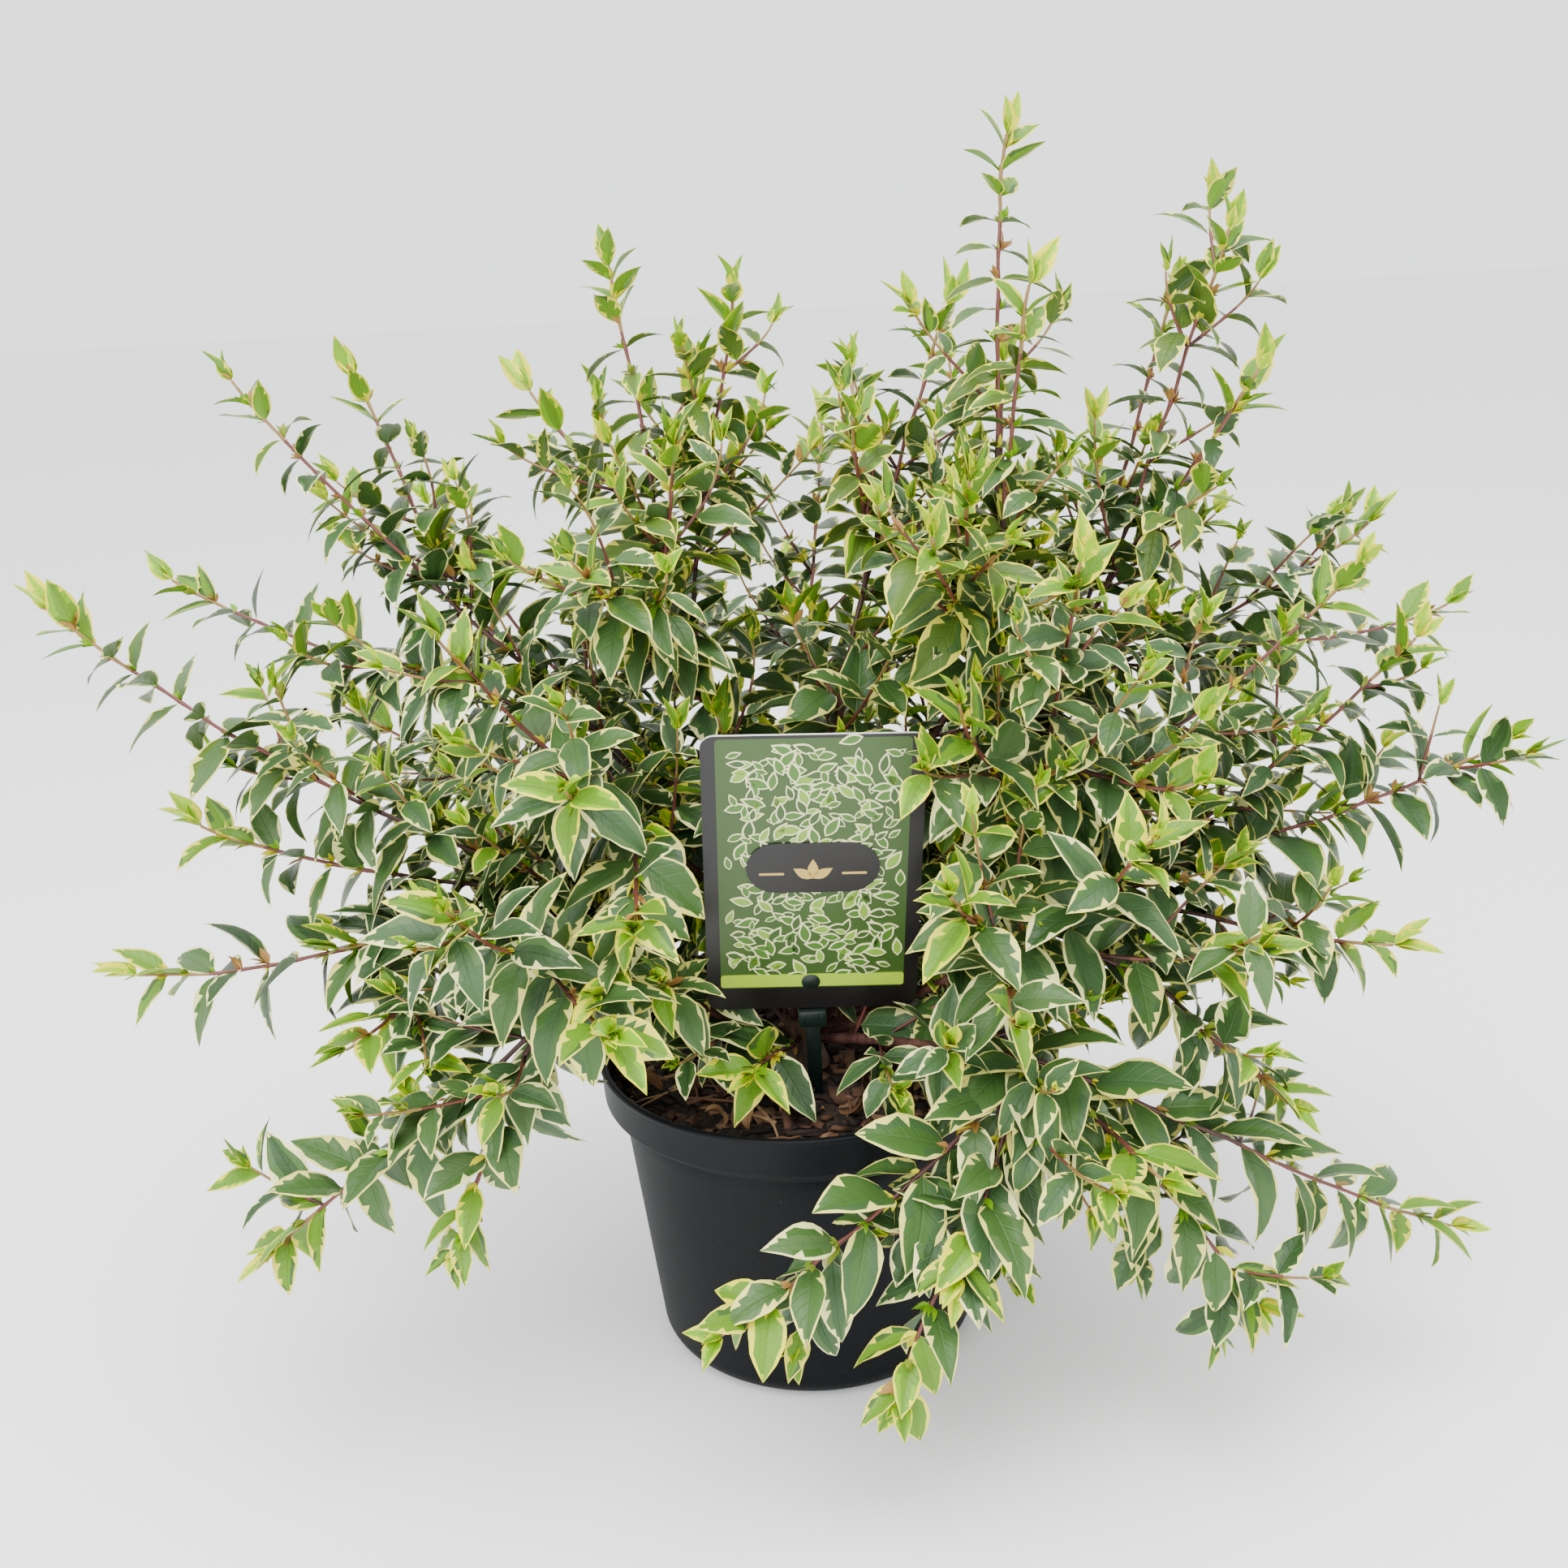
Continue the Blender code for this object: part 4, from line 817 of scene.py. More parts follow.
def blade(rng, width, bend, fold, margin=0.095, stations=FULL_STATIONS):
    """Return a leaf of unit length along +X, its upper face +Z: points, faces, tones, marks."""
    count = len(stations)
    share = np.clip((stations - STALK) / (1.0 - STALK), 0.0, 1.0)
    base_power = rng.uniform(0.58, 0.74)
    tip_power = rng.uniform(1.0, 1.28)
    total = base_power + tip_power
    peak = (base_power / total) ** base_power * (tip_power / total) ** tip_power
    half = width / 2 * share ** base_power * (1.0 - share) ** tip_power / peak
    half = np.maximum(half, np.where(stations < 0.5, 0.013, 0.002))
    angle = bend * (stations ** 1.4) * rng.uniform(0.8, 1.2)
    steps = np.diff(stations)
    middle = (angle[1:] + angle[:-1]) / 2
    spine_x = np.concatenate([[0.0], np.cumsum(steps * np.cos(middle))])
    spine_z = -np.concatenate([[0.0], np.cumsum(steps * np.sin(middle))])
    twist = rng.uniform(-0.35, 0.35) * stations
    phase = rng.uniform(0.0, 6.28)
    ruffle = rng.uniform(0.02, 0.10)
    inner = {}
    for side in (-1, 1):
        rim = margin * rng.uniform(0.45, 1.75, count) + 0.22 * stations ** 4
        notch = rng.random(count) < 0.22
        inner[side] = 1.0 - np.clip(rim + notch * rng.uniform(0.08, 0.30, count), 0.04, 0.75)
    edge = {side: half * (1.0 + rng.uniform(-0.055, 0.045, count)) for side in (-1, 1)}
    columns = [(-1, None), (-1, 1.0), (-1, 0.5), (0, 0.0), (1, 0.5), (1, 1.0), (1, None)]
    if count < 8:
        columns = [(-1, None), (0, 0.0), (1, None)]
    points = np.zeros((count, len(columns), 3))
    marks = np.zeros((count, len(columns), 2))
    for column, (side, part) in enumerate(columns):
        reach = np.ones(count) if part is None else part * inner.get(side, np.zeros(count))
        out = side * reach * edge.get(side, half)
        lift = fold * half * (reach - 0.55 * reach ** 2) * abs(side)
        lift += ruffle * half * reach ** 2 * np.sin(phase + 10.0 * stations + side)
        across = out * np.cos(twist) - lift * np.sin(twist)
        rise = out * np.sin(twist) + lift * np.cos(twist)
        points[:, column, 0] = spine_x + rise * np.sin(angle)
        points[:, column, 1] = across
        points[:, column, 2] = spine_z + rise * np.cos(angle)
        marks[:, column, 0] = stations
        marks[:, column, 1] = 0.5 + side * reach / 2
    faces = []
    tones = []
    wide = len(columns)
    strips = wide - 1
    streaks = {j: sorted(rng.integers(1, 12, 2)) for j in (1, strips - 2)}
    for i in range(count - 1):
        for j in range(strips):
            a, b, c, d = i * wide + j, (i + 1) * wide + j, (i + 1) * wide + j + 1, i * wide + j + 1
            outer = strips > 2 and j in (0, strips - 1)
            fleck = strips > 2 and j in (1, strips - 2) and 1 < i and rng.random() < 0.16
            pale = strips > 2 and i == count - 2 and rng.random() < 0.4
            tone = MARGIN if outer or pale else CENTRE
            if tone == CENTRE and j in streaks and streaks[j][0] <= i < streaks[j][1]:
                tone = SECOND
            if j < strips / 2:
                faces += [(a, b, d), (b, c, d)]
                tones += [MARGIN if fleck else tone, tone]
            else:
                faces += [(a, b, c), (a, c, d)]
                tones += [tone, MARGIN if fleck else tone]
    return points.reshape(-1, 3), np.array(faces), np.array(tones), marks.reshape(-1, 2)


def blades(seed, count, width, bend, fold, margin=0.095, stations=FULL_STATIONS):
    """Make a set of leaves between two widths, bends and folds."""
    rng = np.random.default_rng(seed)
    made = []
    for _ in range(count):
        made.append(blade(rng, rng.uniform(*width), rng.uniform(*bend), rng.uniform(*fold), margin, stations))
    return made


MATURE = blades(1, 28, (0.40, 0.54), (0.35, 1.15), (0.25, 0.75))
NARROW = blades(6, 16, (0.31, 0.42), (0.55, 1.25), (0.35, 0.85))
YOUNG = blades(2, 12, (0.38, 0.50), (0.05, 0.60), (0.45, 0.95), 0.13)
SOFT = blades(3, 10, (0.36, 0.48), (-0.25, 0.30), (0.7, 1.3), 0.12)
BUDS = blades(4, 8, (0.34, 0.50), (-0.3, 0.4), (0.7, 1.3), 0.1, SMALL_STATIONS)
DRY = blades(5, 10, (0.30, 0.55), (1.2, 3.0), (0.8, 1.8), 0.1)

LEAF_COLOURS = {
    # painted shade: a darker copy of the leaf green, standing for leaves in shade
    "leaf_painted_shade_green": linear(44, 70, 34),
    "leaf_green": linear(62, 92, 44),
    "leaf_grey_green": linear(74, 100, 58),
    "leaf_blue_green": linear(58, 86, 50),
    # painted light: a brighter olive standing for light shining through the leaves at the crown's top
    "leaf_painted_backlight_olive": linear(76, 100, 36),
    "leaf_fresh_green": linear(92, 132, 30),
    "margin_pale_cream": linear(228, 226, 148),
    "margin_cream": linear(222, 216, 112),
    "margin_yellow": linear(216, 208, 70),
    "tip_lime_green": linear(112, 160, 10),
    "tip_lime": linear(150, 190, 12),
    "tip_yellow": linear(214, 208, 36),
    "bud_green": linear(130, 148, 46),
    "bud_tan": linear(158, 118, 62),
    "leaf_dead_brown": linear(112, 78, 50),
}
LEAF_SLOT = {name: number for number, name in enumerate(LEAF_COLOURS)}

MATURE_LOW = [
    ("leaf_green", "leaf_grey_green", "margin_cream"),
    ("leaf_grey_green", "leaf_green", "margin_pale_cream"),
    ("leaf_blue_green", "leaf_grey_green", "margin_pale_cream"),
    ("leaf_blue_green", "leaf_green", "margin_cream"),
    ("leaf_green", "leaf_blue_green", "margin_cream"),
    # painted shade: this spray's centre is the darker shaded copy of the leaf green
    ("leaf_painted_shade_green", "leaf_green", "margin_pale_cream"),
]
# Sprays of the upper crown, with painted backlight: olive in place of light shining through the leaves
MATURE_HIGH_BACKLIT = [
    ("leaf_painted_backlight_olive", "leaf_green", "margin_yellow"),
    ("leaf_green", "leaf_painted_backlight_olive", "margin_cream"),
    ("leaf_painted_backlight_olive", "leaf_fresh_green", "margin_yellow"),
    ("leaf_grey_green", "leaf_painted_backlight_olive", "margin_cream"),
]
YOUNG_SET = [
    ("leaf_fresh_green", "leaf_green", "margin_yellow"),
    ("leaf_fresh_green", "tip_lime_green", "tip_yellow"),
]
SOFT_SET = [("tip_lime_green", "tip_lime", "tip_yellow"), ("tip_lime", "tip_yellow", "tip_yellow")]
BUD_SET = [("bud_green",) * 3, ("tip_yellow",) * 3, ("tip_lime_green",) * 3, ("bud_tan",) * 3]

SPREAD = {"mature": 62.0, "narrow": 72.0, "young": 46.0, "soft": 22.0, "bud": 26.0}
DROOP = {
    "mature": (0.0, 0.50),
    "narrow": (0.05, 0.35),
    "young": (-0.10, 0.20),
    "soft": (-0.45, -0.10),
    "bud": (-0.3, 0.1),
}
BLADES = {"mature": MATURE, "narrow": NARROW, "young": YOUNG, "soft": SOFT, "bud": BUDS}

REGIONS = ("top_left", "top_right", "back", "left", "right", "front_left", "front_right")


def region_of(azimuth, height):
    """Name the region of the crown that a limb or mass belongs to."""
    if height > 0.40:
        return "top_left" if abs(azimuth) > 75 else "top_right"
    if 20 < azimuth < 160:
        return "back"
    if abs(azimuth) > 150:
        return "left"
    if azimuth > -25:
        return "right"
    return "front_left" if azimuth < -90 else "front_right"


def wander(point):
    """Return a smooth sideways drift at a point, the same in every run."""
    spot = point * STEM_WAVES
    return Vector([noise.noise(spot + Vector((0.0, 0.0, 17.3 * axis))) for axis in range(3)])


class Stem:
    """A shoot or cane as a fine line of points that wanders a little."""

    def __init__(self, controls, wobble=STEM_WOBBLE):
        rough = line(controls, LINE_POINTS)
        length = sum((b - a).length for a, b in zip(rough, rough[1:]))
        count = max(5, round(length / STEM_STEP))
        points = []
        for i, point in enumerate(line(controls, count + 1)):
            ease = min(1.0, 4.0 * i / count)
            points.append(point + wander(point) * (wobble * ease))
        self.points = np.array(points)
        steps = np.linalg.norm(np.diff(self.points, axis=0), axis=1)
        self.travel = np.concatenate([[0.0], np.cumsum(steps)])
        self.length = self.travel[-1]

    def at(self, distance):
        """Return the point at a distance along the stem."""
        return Vector([np.interp(distance, self.travel, self.points[:, k]) for k in range(3)])

    def heading(self, distance):
        """Return the stem's direction at a distance along it."""
        step = 0.003
        return (self.at(min(distance + step, self.length)) - self.at(max(distance - step, 0.0))).normalized()


class Crown:
    """The growing crown: its leaves by region, its stems, and the space that it may fill."""

    def __init__(self, cane_curves, shoots):
        self.leaves = {region: Sprays() for region in REGIONS}
        self.stems = Sprays()
        self.cells = {}
        self.leaf_count = 0
        curves = list(cane_curves.values()) + [curve for group in shoots.values() for curve in group]
        starts = []
        ends = []
        for curve in curves:
            points = line(curve, LINE_POINTS)
            starts += points[:-1]
            ends += points[1:]
        self.starts = np.array(starts)
        self.along = np.array(ends) - self.starts
        self.size = (self.along ** 2).sum(axis=1)
        self.to_card = np.array(card_place().inverted())
        self.eye = self.card_space(np.array([CAMERA_PLACE]))[0]

    def card_space(self, points):
        """Return points as seen from the card: across, behind and up."""
        return (np.hstack([points, np.ones((len(points), 1))]) @ self.to_card.T)[:, :3]

    def within_reach(self, points):
        """Say whether points stay as near to a limb as the solids' own leaves do."""
        offset = points[:, None, :] - self.starts[None, :, :]
        share = np.clip((offset * self.along).sum(axis=2) / self.size, 0.0, 1.0)
        gaps = np.linalg.norm(offset - share[:, :, None] * self.along, axis=2)
        return bool((gaps.min(axis=1) < CROWN_REACH).all())

    def clear_of_card(self, points):
        """Say whether points stay on one side of the card and its pick."""
        flat = self.card_space(points)
        side = np.abs(flat[:, 0])
        card = (side < CARD_WIDTH / 2 + CARD_MARGIN) & (np.abs(flat[:, 2]) < CARD_HEIGHT / 2 + CARD_MARGIN)
        pick = (side < CLIP_WIDTH / 2 + CARD_MARGIN) & (flat[:, 2] < 0.0)
        near = flat[card | pick]
        thick = CLIP_DEPTH / 2 + SOLID_CLEARANCE
        return len(near) == 0 or bool((near[:, 1] > thick).all() or (near[:, 1] < -thick).all())

    def shows_card(self, points):
        """Say whether points leave the card's face in view, apart from its edges."""
        flat = self.card_space(points)
        front = flat[flat[:, 1] < -0.001]
        if len(front) == 0:
            return True
        scale = self.eye[1] / (self.eye[1] - front[:, 1])
        seen = self.eye + (front - self.eye) * scale[:, None]
        across, up = seen[:, 0], seen[:, 2]
        hidden = (np.abs(across) < CARD_WIDTH / 2 - COVERED_SIDE) & (up > -CARD_HEIGHT / 2 + COVERED_FOOT)
        hidden &= up < CARD_HEIGHT / 2 - COVERED_TOP
        hidden &= ~((across < LEAVES_AT_LEFT[0]) & (up < LEAVES_AT_LEFT[1]))
        hidden &= ~((across > LEAVES_AT_RIGHT[0]) & (up > LEAVES_AT_RIGHT[1]))
        pick = (np.abs(across) < PICK_SHOWN_WIDTH) & (up < 0.0) & (up > -CARD_HEIGHT / 2 - PICK_SHOWN_DROP)
        return not bool((hidden | pick).any())

    @staticmethod
    def clear_of_pot(points):
        """Say whether points are outside the pot, or inside it above the mix."""
        low = points[points[:, 2] < POT_HEIGHT + SOLID_CLEARANCE]
        if len(low) == 0:
            return True
        radius = np.hypot(low[:, 0], low[:, 1])
        if (radius > RIM_RADIUS + SOLID_CLEARANCE).all():
            return True
        inside = radius < RIM_RADIUS - LIP_WALL - SOLID_CLEARANCE
        above = low[:, 2] > SOIL_LEVEL + SOLID_CLEARANCE
        clear = (radius > BASE_FOOT_RADIUS) | (low[:, 2] > SOIL_LEVEL + BASE_HEIGHT)
        return bool((inside & above & clear).all())

    def allows(self, points):
        """Say whether growth may pass through points."""
        if points[:, 2].min() < GROUND_CLEARANCE:
            return False
        if not (self.clear_of_pot(points) and self.clear_of_card(points) and self.shows_card(points)):
            return False
        return self.within_reach(points)

    def roomy(self, centre, length):
        """Say whether a leaf's middle is far enough from every other leaf's, and keep it."""
        key = tuple((centre // CELL).astype(int))
        least = LEAF_APART * length
        for i in (-1, 0, 1):
            for j in (-1, 0, 1):
                for k in (-1, 0, 1):
                    for other in self.cells.get((key[0] + i, key[1] + j, key[2] + k), ()):
                        if np.linalg.norm(other - centre) < least:
                            return False
        self.cells.setdefault(key, []).append(centre)
        return True

    def place_leaf(self, kind, root, direction, length, colours, region, rng):
        """Set one leaf on its stem, its face turned up and outward, where it fits."""
        along = direction.normalized()
        stray = Vector((rng.uniform(-1, 1), rng.uniform(-1, 1), rng.uniform(-1, 1)))
        wish = UP * FACE_UP + level_outward(root) * FACE_OUTWARD + stray * FACE_STRAY
        off = wish - along * wish.dot(along)
        if off.length < 0.15:
            off = along.orthogonal()
        off.normalize()
        across = off.cross(along)
        points, faces, tones, marks = rng.choice(BLADES[kind])
        turn = np.array([along, across, off]) * length
        placed = np.array(root) + points @ turn
        if kind != "bud":
            wide = len(points) // len(FULL_STATIONS)
            samples = placed.reshape(-1, wide, 3)[3:, ::3].reshape(-1, 3)
            if not self.allows(samples):
                return False
            if kind != "soft" and not self.roomy(placed[len(placed) // 2], length):
                return False
        elif not self.allows(placed[3:]):
            return False
        slots = np.array([LEAF_SLOT[name] for name in colours])[tones]
        self.leaves[region].add(placed, faces, slots, marks)
        self.leaf_count += kind != "bud"
        return True

    def pair(self, kind, foot, along, quarter, size, colours, region, rng):
        """Set two opposite leaves at a node."""
        side = round_stem(along, quarter * math.pi / 2 + rng.uniform(-0.45, 0.45))
        for sign in (1, -1):
            spread = math.radians(SPREAD[kind]) + rng.uniform(-0.22, 0.22)
            length = size * rng.uniform(0.86, 1.14)
            droop = rng.uniform(*DROOP[kind])
            for _ in range(3):
                direction = along * math.cos(spread) + side * (sign * math.sin(spread)) - UP * droop
                if self.place_leaf(kind, foot, direction, length, colours, region, rng):
                    break
                spread -= 0.30
                droop *= 0.6
                length *= 0.87
        return side

    def buds(self, foot, along, side, region, rng):
        """Set small clusters of bud leaves in the axils of a node."""
        for sign in (1, -1):
            if rng.random() < 0.25:
                continue
            size = rng.uniform(0.004, 0.0095)
            lean = (along + side * (0.5 * sign)).normalized()
            root = foot + side * (sign * 0.0008)
            colours = rng.choice(BUD_SET)
            for _ in range(2):
                self.pair("bud", root, lean, rng.random() * 4, size, colours, region, rng)
                size *= 0.75

    def tip(self, foot, along, size, lime, region, rng):
        """End a shoot in small upright leaves, lime or plain green."""
        kinds = SOFT_SET if lime else YOUNG_SET
        quarter = rng.random() * 4
        self.pair("soft", foot, along, quarter, size, rng.choice(kinds), region, rng)
        self.pair("soft", foot, along, quarter + 1, size * 0.62, rng.choice(SOFT_SET), region, rng)
        self.pair("bud", foot, along, quarter, size * 0.36, rng.choice(BUD_SET), region, rng)

    def stem(self, stem, foot_radius, tip_radius, nodes, sides, young_from):
        """Add a stem's tube, swollen at its nodes, from old rind to young."""
        share = stem.travel / stem.length
        radii = foot_radius + (tip_radius - foot_radius) * share
        gaps = np.abs(stem.travel[:, None] - np.array(nodes)[None, :]).min(axis=1)
        radii = radii * (1.0 + NODE_SWELL * np.exp(-((gaps / NODE_SWELL_LENGTH) ** 2)))
        middle = (share[1:] + share[:-1]) / 2
        slots = np.where(middle < young_from[0], 0, np.where(middle < young_from[1], 1, 2))
        self.stems.add(*tube(stem.points, radii, sides, slots))


def base_leaf_size(height):
    """Return the length of a full leaf at a height: smaller at the top of the crown."""
    share = (height - LEAF_LOW_LEVEL) / (LEAF_HIGH_LEVEL - LEAF_LOW_LEVEL)
    return LEAF_LOW + (LEAF_HIGH - LEAF_LOW) * min(1.0, max(0.0, share))


def mature_colours(height, rng):
    """Choose the colours of a spray: more olive at the top of the crown, which is painted backlight; the
    lower sets hold the painted shade green.
    """
    # the share of upper sprays, whose olive is painted backlight, grows with height
    high = (height - 0.33) / 0.16
    return rng.choice(MATURE_HIGH_BACKLIT if rng.random() < high else MATURE_LOW)


def node_places(length, spacing, bare):
    """List the distances of a stem's nodes, closer together towards its tip."""
    places = []
    distance = bare
    while distance < length - 0.35 * spacing:
        places.append(distance)
        share = distance / length
        distance += spacing * (1.0 - 0.45 * max(0.0, share - 0.5) * 2)
    return places


def grow_leader(crown, curve, bare, region, thickness, rng):
    """Clothe a leading shoot with leaf pairs, buds, side shoots and a soft tip."""
    stem = Stem(curve)
    size = base_leaf_size((curve[0].z + curve[3].z) / 2)
    nodes = node_places(stem.length, LEADER_SPACING, bare)
    crown.stem(stem, SHOOT_FOOT_RADIUS, SHOOT_TIP_RADIUS, nodes, 6, (0.50, 0.86))
    colours = mature_colours(curve[3].z, rng)
    quarter = rng.random()
    for number, distance in enumerate(nodes):
        share = distance / stem.length
        foot = stem.at(distance)
        along = stem.heading(distance)
        left = stem.length - distance
        if left < YOUNG_LENGTH:
            kind = "young"
        else:
            kind = "narrow" if foot.z > NARROW_LEVEL else "mature"
        leaf = size * (1.0 - 0.42 * max(0.0, share - 0.45) / 0.55)
        if kind == "young":
            spray = rng.choice(YOUNG_SET)
        else:
            spray = colours if rng.random() < 0.6 else mature_colours(foot.z, rng)
        side = crown.pair(kind, foot, along, quarter + number, leaf, spray, region, rng)
        crown.buds(foot, along, side, region, rng)
        chance = SIDE_SHOOT_CHANCE * thickness * (1.0 if share < 0.60 else 0.12)
        for sign in (1, -1):
            if rng.random() < chance:
                long = SIDE_SHOOT_LONG + (SIDE_SHOOT_SHORT - SIDE_SHOOT_LONG) * share
                long *= rng.uniform(0.7, 1.15)
                grow_side_shoot(crown, foot, along, side * sign, long, size, region, rng)
    lime = rng.random() < LEADER_LIME_CHANCE
    crown.tip(stem.at(stem.length), stem.heading(stem.length), rng.uniform(*LEADER_TIP), lime, region, rng)


def grow_side_shoot(crown, foot, along, side, length, size, region, rng):
    """Grow a side shoot out of an axil, which bends up to the light, where it fits."""
    outward = level_outward(foot)
    first = (along * 0.65 + side * 0.75 + UP * 0.15).normalized()
    last = (first + UP * rng.uniform(0.0, 0.7) + outward * rng.uniform(0.0, 0.5)).normalized()
    for _ in range(3):
        goal = foot + first * (0.55 * length) + last * (0.45 * length)
        curve = (foot, foot + first * (0.35 * length), foot + first * (0.68 * length), goal)
        if crown.allows(np.array(line(curve, 6)[2:])):
            break
        length *= 0.7
    else:
        return
    if length < 0.014:
        return
    stem = Stem(curve, STEM_WOBBLE / 2)
    leaf = size * rng.uniform(0.72, 0.95)
    nodes = node_places(stem.length, SIDE_SPACING, 0.008)
    if not nodes:
        return
    crown.stem(stem, 0.00085, 0.0005, nodes, 5, (0.15, 0.6))
    colours = mature_colours(foot.z, rng)
    quarter = rng.random()
    for number, distance in enumerate(nodes):
        share = distance / stem.length
        place = stem.at(distance)
        kind = "young" if share > 0.72 else "mature"
        spray = rng.choice(YOUNG_SET) if kind == "young" and rng.random() < 0.6 else colours
        reduced = leaf * (1.0 - 0.38 * share)
        direction = stem.heading(distance)
        turned_side = crown.pair(kind, place, direction, quarter + number, reduced, spray, region, rng)
        if rng.random() < 0.3:
            crown.buds(place, direction, turned_side, region, rng)
    lime = rng.random() < LIME_CHANCE
    crown.tip(stem.at(stem.length), stem.heading(stem.length), rng.uniform(*SIDE_TIP), lime, region, rng)


def grow_cane_shoots(crown, name, curve, rng):
    """Fill the crown's inside with leafy side shoots along a cane."""
    azimuth, _, height, _ = CANES[name]
    region = region_of(azimuth, height)
    stem = Stem(curve, 0.0)
    quarter = rng.random()
    for number, distance in enumerate(np.arange(CANE_SHOOT_BARE, stem.length - 0.004, CANE_SHOOT_SPACING)):
        foot = stem.at(distance)
        along = stem.heading(distance)
        side = round_stem(along, (quarter + number) * math.pi / 2 + rng.uniform(-0.5, 0.5))
        for sign in (1, -1):
            if rng.random() < CANE_SHOOT_CHANCE:
                length = rng.uniform(*CANE_SHOOT_LENGTH)
                grow_side_shoot(crown, foot, along, side * sign, length, LEAF_LOW, region, rng)


def grow_crown(cane_curves, shoots):
    """Grow every leading shoot and the side shoots of the canes."""
    crown = Crown(cane_curves, shoots)
    for number, (name, curves) in enumerate(shoots.items()):
        rng = random.Random(SEED * 1000 + number)
        azimuth, _, height, _ = MASSES[name][1][0]
        region = region_of(azimuth, height)
        for order, curve in enumerate(curves):
            bare = 0.010 if order == 0 else 0.018
            grow_leader(crown, curve, bare, region, SIDE_GROWTH.get(name, 1.0), rng)
    for number, (name, curve) in enumerate(cane_curves.items()):
        grow_cane_shoots(crown, name, curve, random.Random(SEED * 2000 + number))
    print("leaves", crown.leaf_count)
    return crown


def build_crown(cane_curves, shoots):
    """Show the crown's leaves by region and its stems."""
    crown = grow_crown(cane_curves, shoots)
    finishes = [leaf_finish(name, colour) for name, colour in LEAF_COLOURS.items()]
    for region, sprays in crown.leaves.items():
        nodes = [name for name, mass in MASSES.items() if region_of(mass[1][0][0], mass[1][0][2]) == region]
        piece("leaves_" + region, sprays.mesh("leaves_" + region, finishes), nodes)
    rinds = [
        twig_finish("rind_old", linear(72, 40, 38)),
        twig_finish("rind_red", linear(104, 54, 46)),
        twig_finish("rind_young", linear(136, 104, 58)),
    ]
    piece("stems", crown.stems.mesh("stems", rinds))


def build_canes(curves):
    """Show the canes with their bark's relief and swollen nodes."""
    canes = Sprays()
    angle = np.arange(CANE_SIDES) * 2 * math.pi / CANE_SIDES
    for number, curve in enumerate(curves.values()):
        stem = Stem(curve, 0.0)
        share = stem.travel / stem.length
        radii = CANE_FOOT_RADIUS + (CANE_TIP_RADIUS - CANE_FOOT_RADIUS) * share
        nodes = np.append(np.arange(CANE_NODE_BARE, stem.length, CANE_NODE_SPACING), stem.length - 0.001)
        gaps = np.abs(stem.travel[:, None] - nodes[None, :]).min(axis=1)
        radii = radii * (1.0 + CANE_NODE_SWELL * np.exp(-((gaps / CANE_NODE_LENGTH) ** 2)))
        ridges = 0.05 * np.sin(3 * angle[None, :] + 9 * share[:, None] + number)
        ridges = ridges + 0.035 * np.sin(7 * angle[None, :] - 14 * share[:, None])
        radii = radii[:, None] * (1.0 + ridges)
        canes.add(*tube(stem.points, radii, CANE_SIDES, np.zeros(len(radii) - 1, int)))
    bark = bark_finish("cane_bark", linear(62, 36, 33), linear(92, 56, 46), linear(128, 104, 82))
    piece("canes", canes.mesh("canes", [bark]), list(CANES))


def build_woody_base():
    """Show the woody base: a flared foot, furrowed bark and a knuckled head."""
    foot = SOIL_LEVEL + GAP
    top = SOIL_LEVEL + BASE_HEIGHT
    knots = [(0.0, BASE_FOOT_RADIUS), (0.25, 0.0097), (0.60, BASE_NECK_RADIUS), (0.96, BASE_HEAD_RADIUS)]
    shares = np.linspace(0.0, 0.96, 22)
    radii = np.interp(shares, [knot[0] for knot in knots], [knot[1] for knot in knots])
    profile = [(0.0, foot)] + [(radius, foot + share * BASE_HEIGHT) for share, radius in zip(shares, radii)]
    profile += [(BASE_HEAD_RADIUS - 0.0012, top), (BASE_HEAD_RADIUS * 0.5, top), (0.0, top)]

    def furrow(point, number):
        spot = Vector((point.x * 320.0, point.y * 320.0, point.z * 70.0))
        push = 1.0 - 0.05 * abs(noise.noise(spot)) - 0.04 * abs(noise.noise(spot * 2.3))
        return Vector((point.x * push, point.y * push, point.z))

    bark = bark_finish("base_bark", linear(74, 56, 44), linear(112, 88, 68), linear(140, 122, 102))
    mesh = plain_mesh("woody_base_bark", turned(profile, 48, furrow), [bark], 50)
    piece("woody_base_bark", mesh, ["woody_base"])


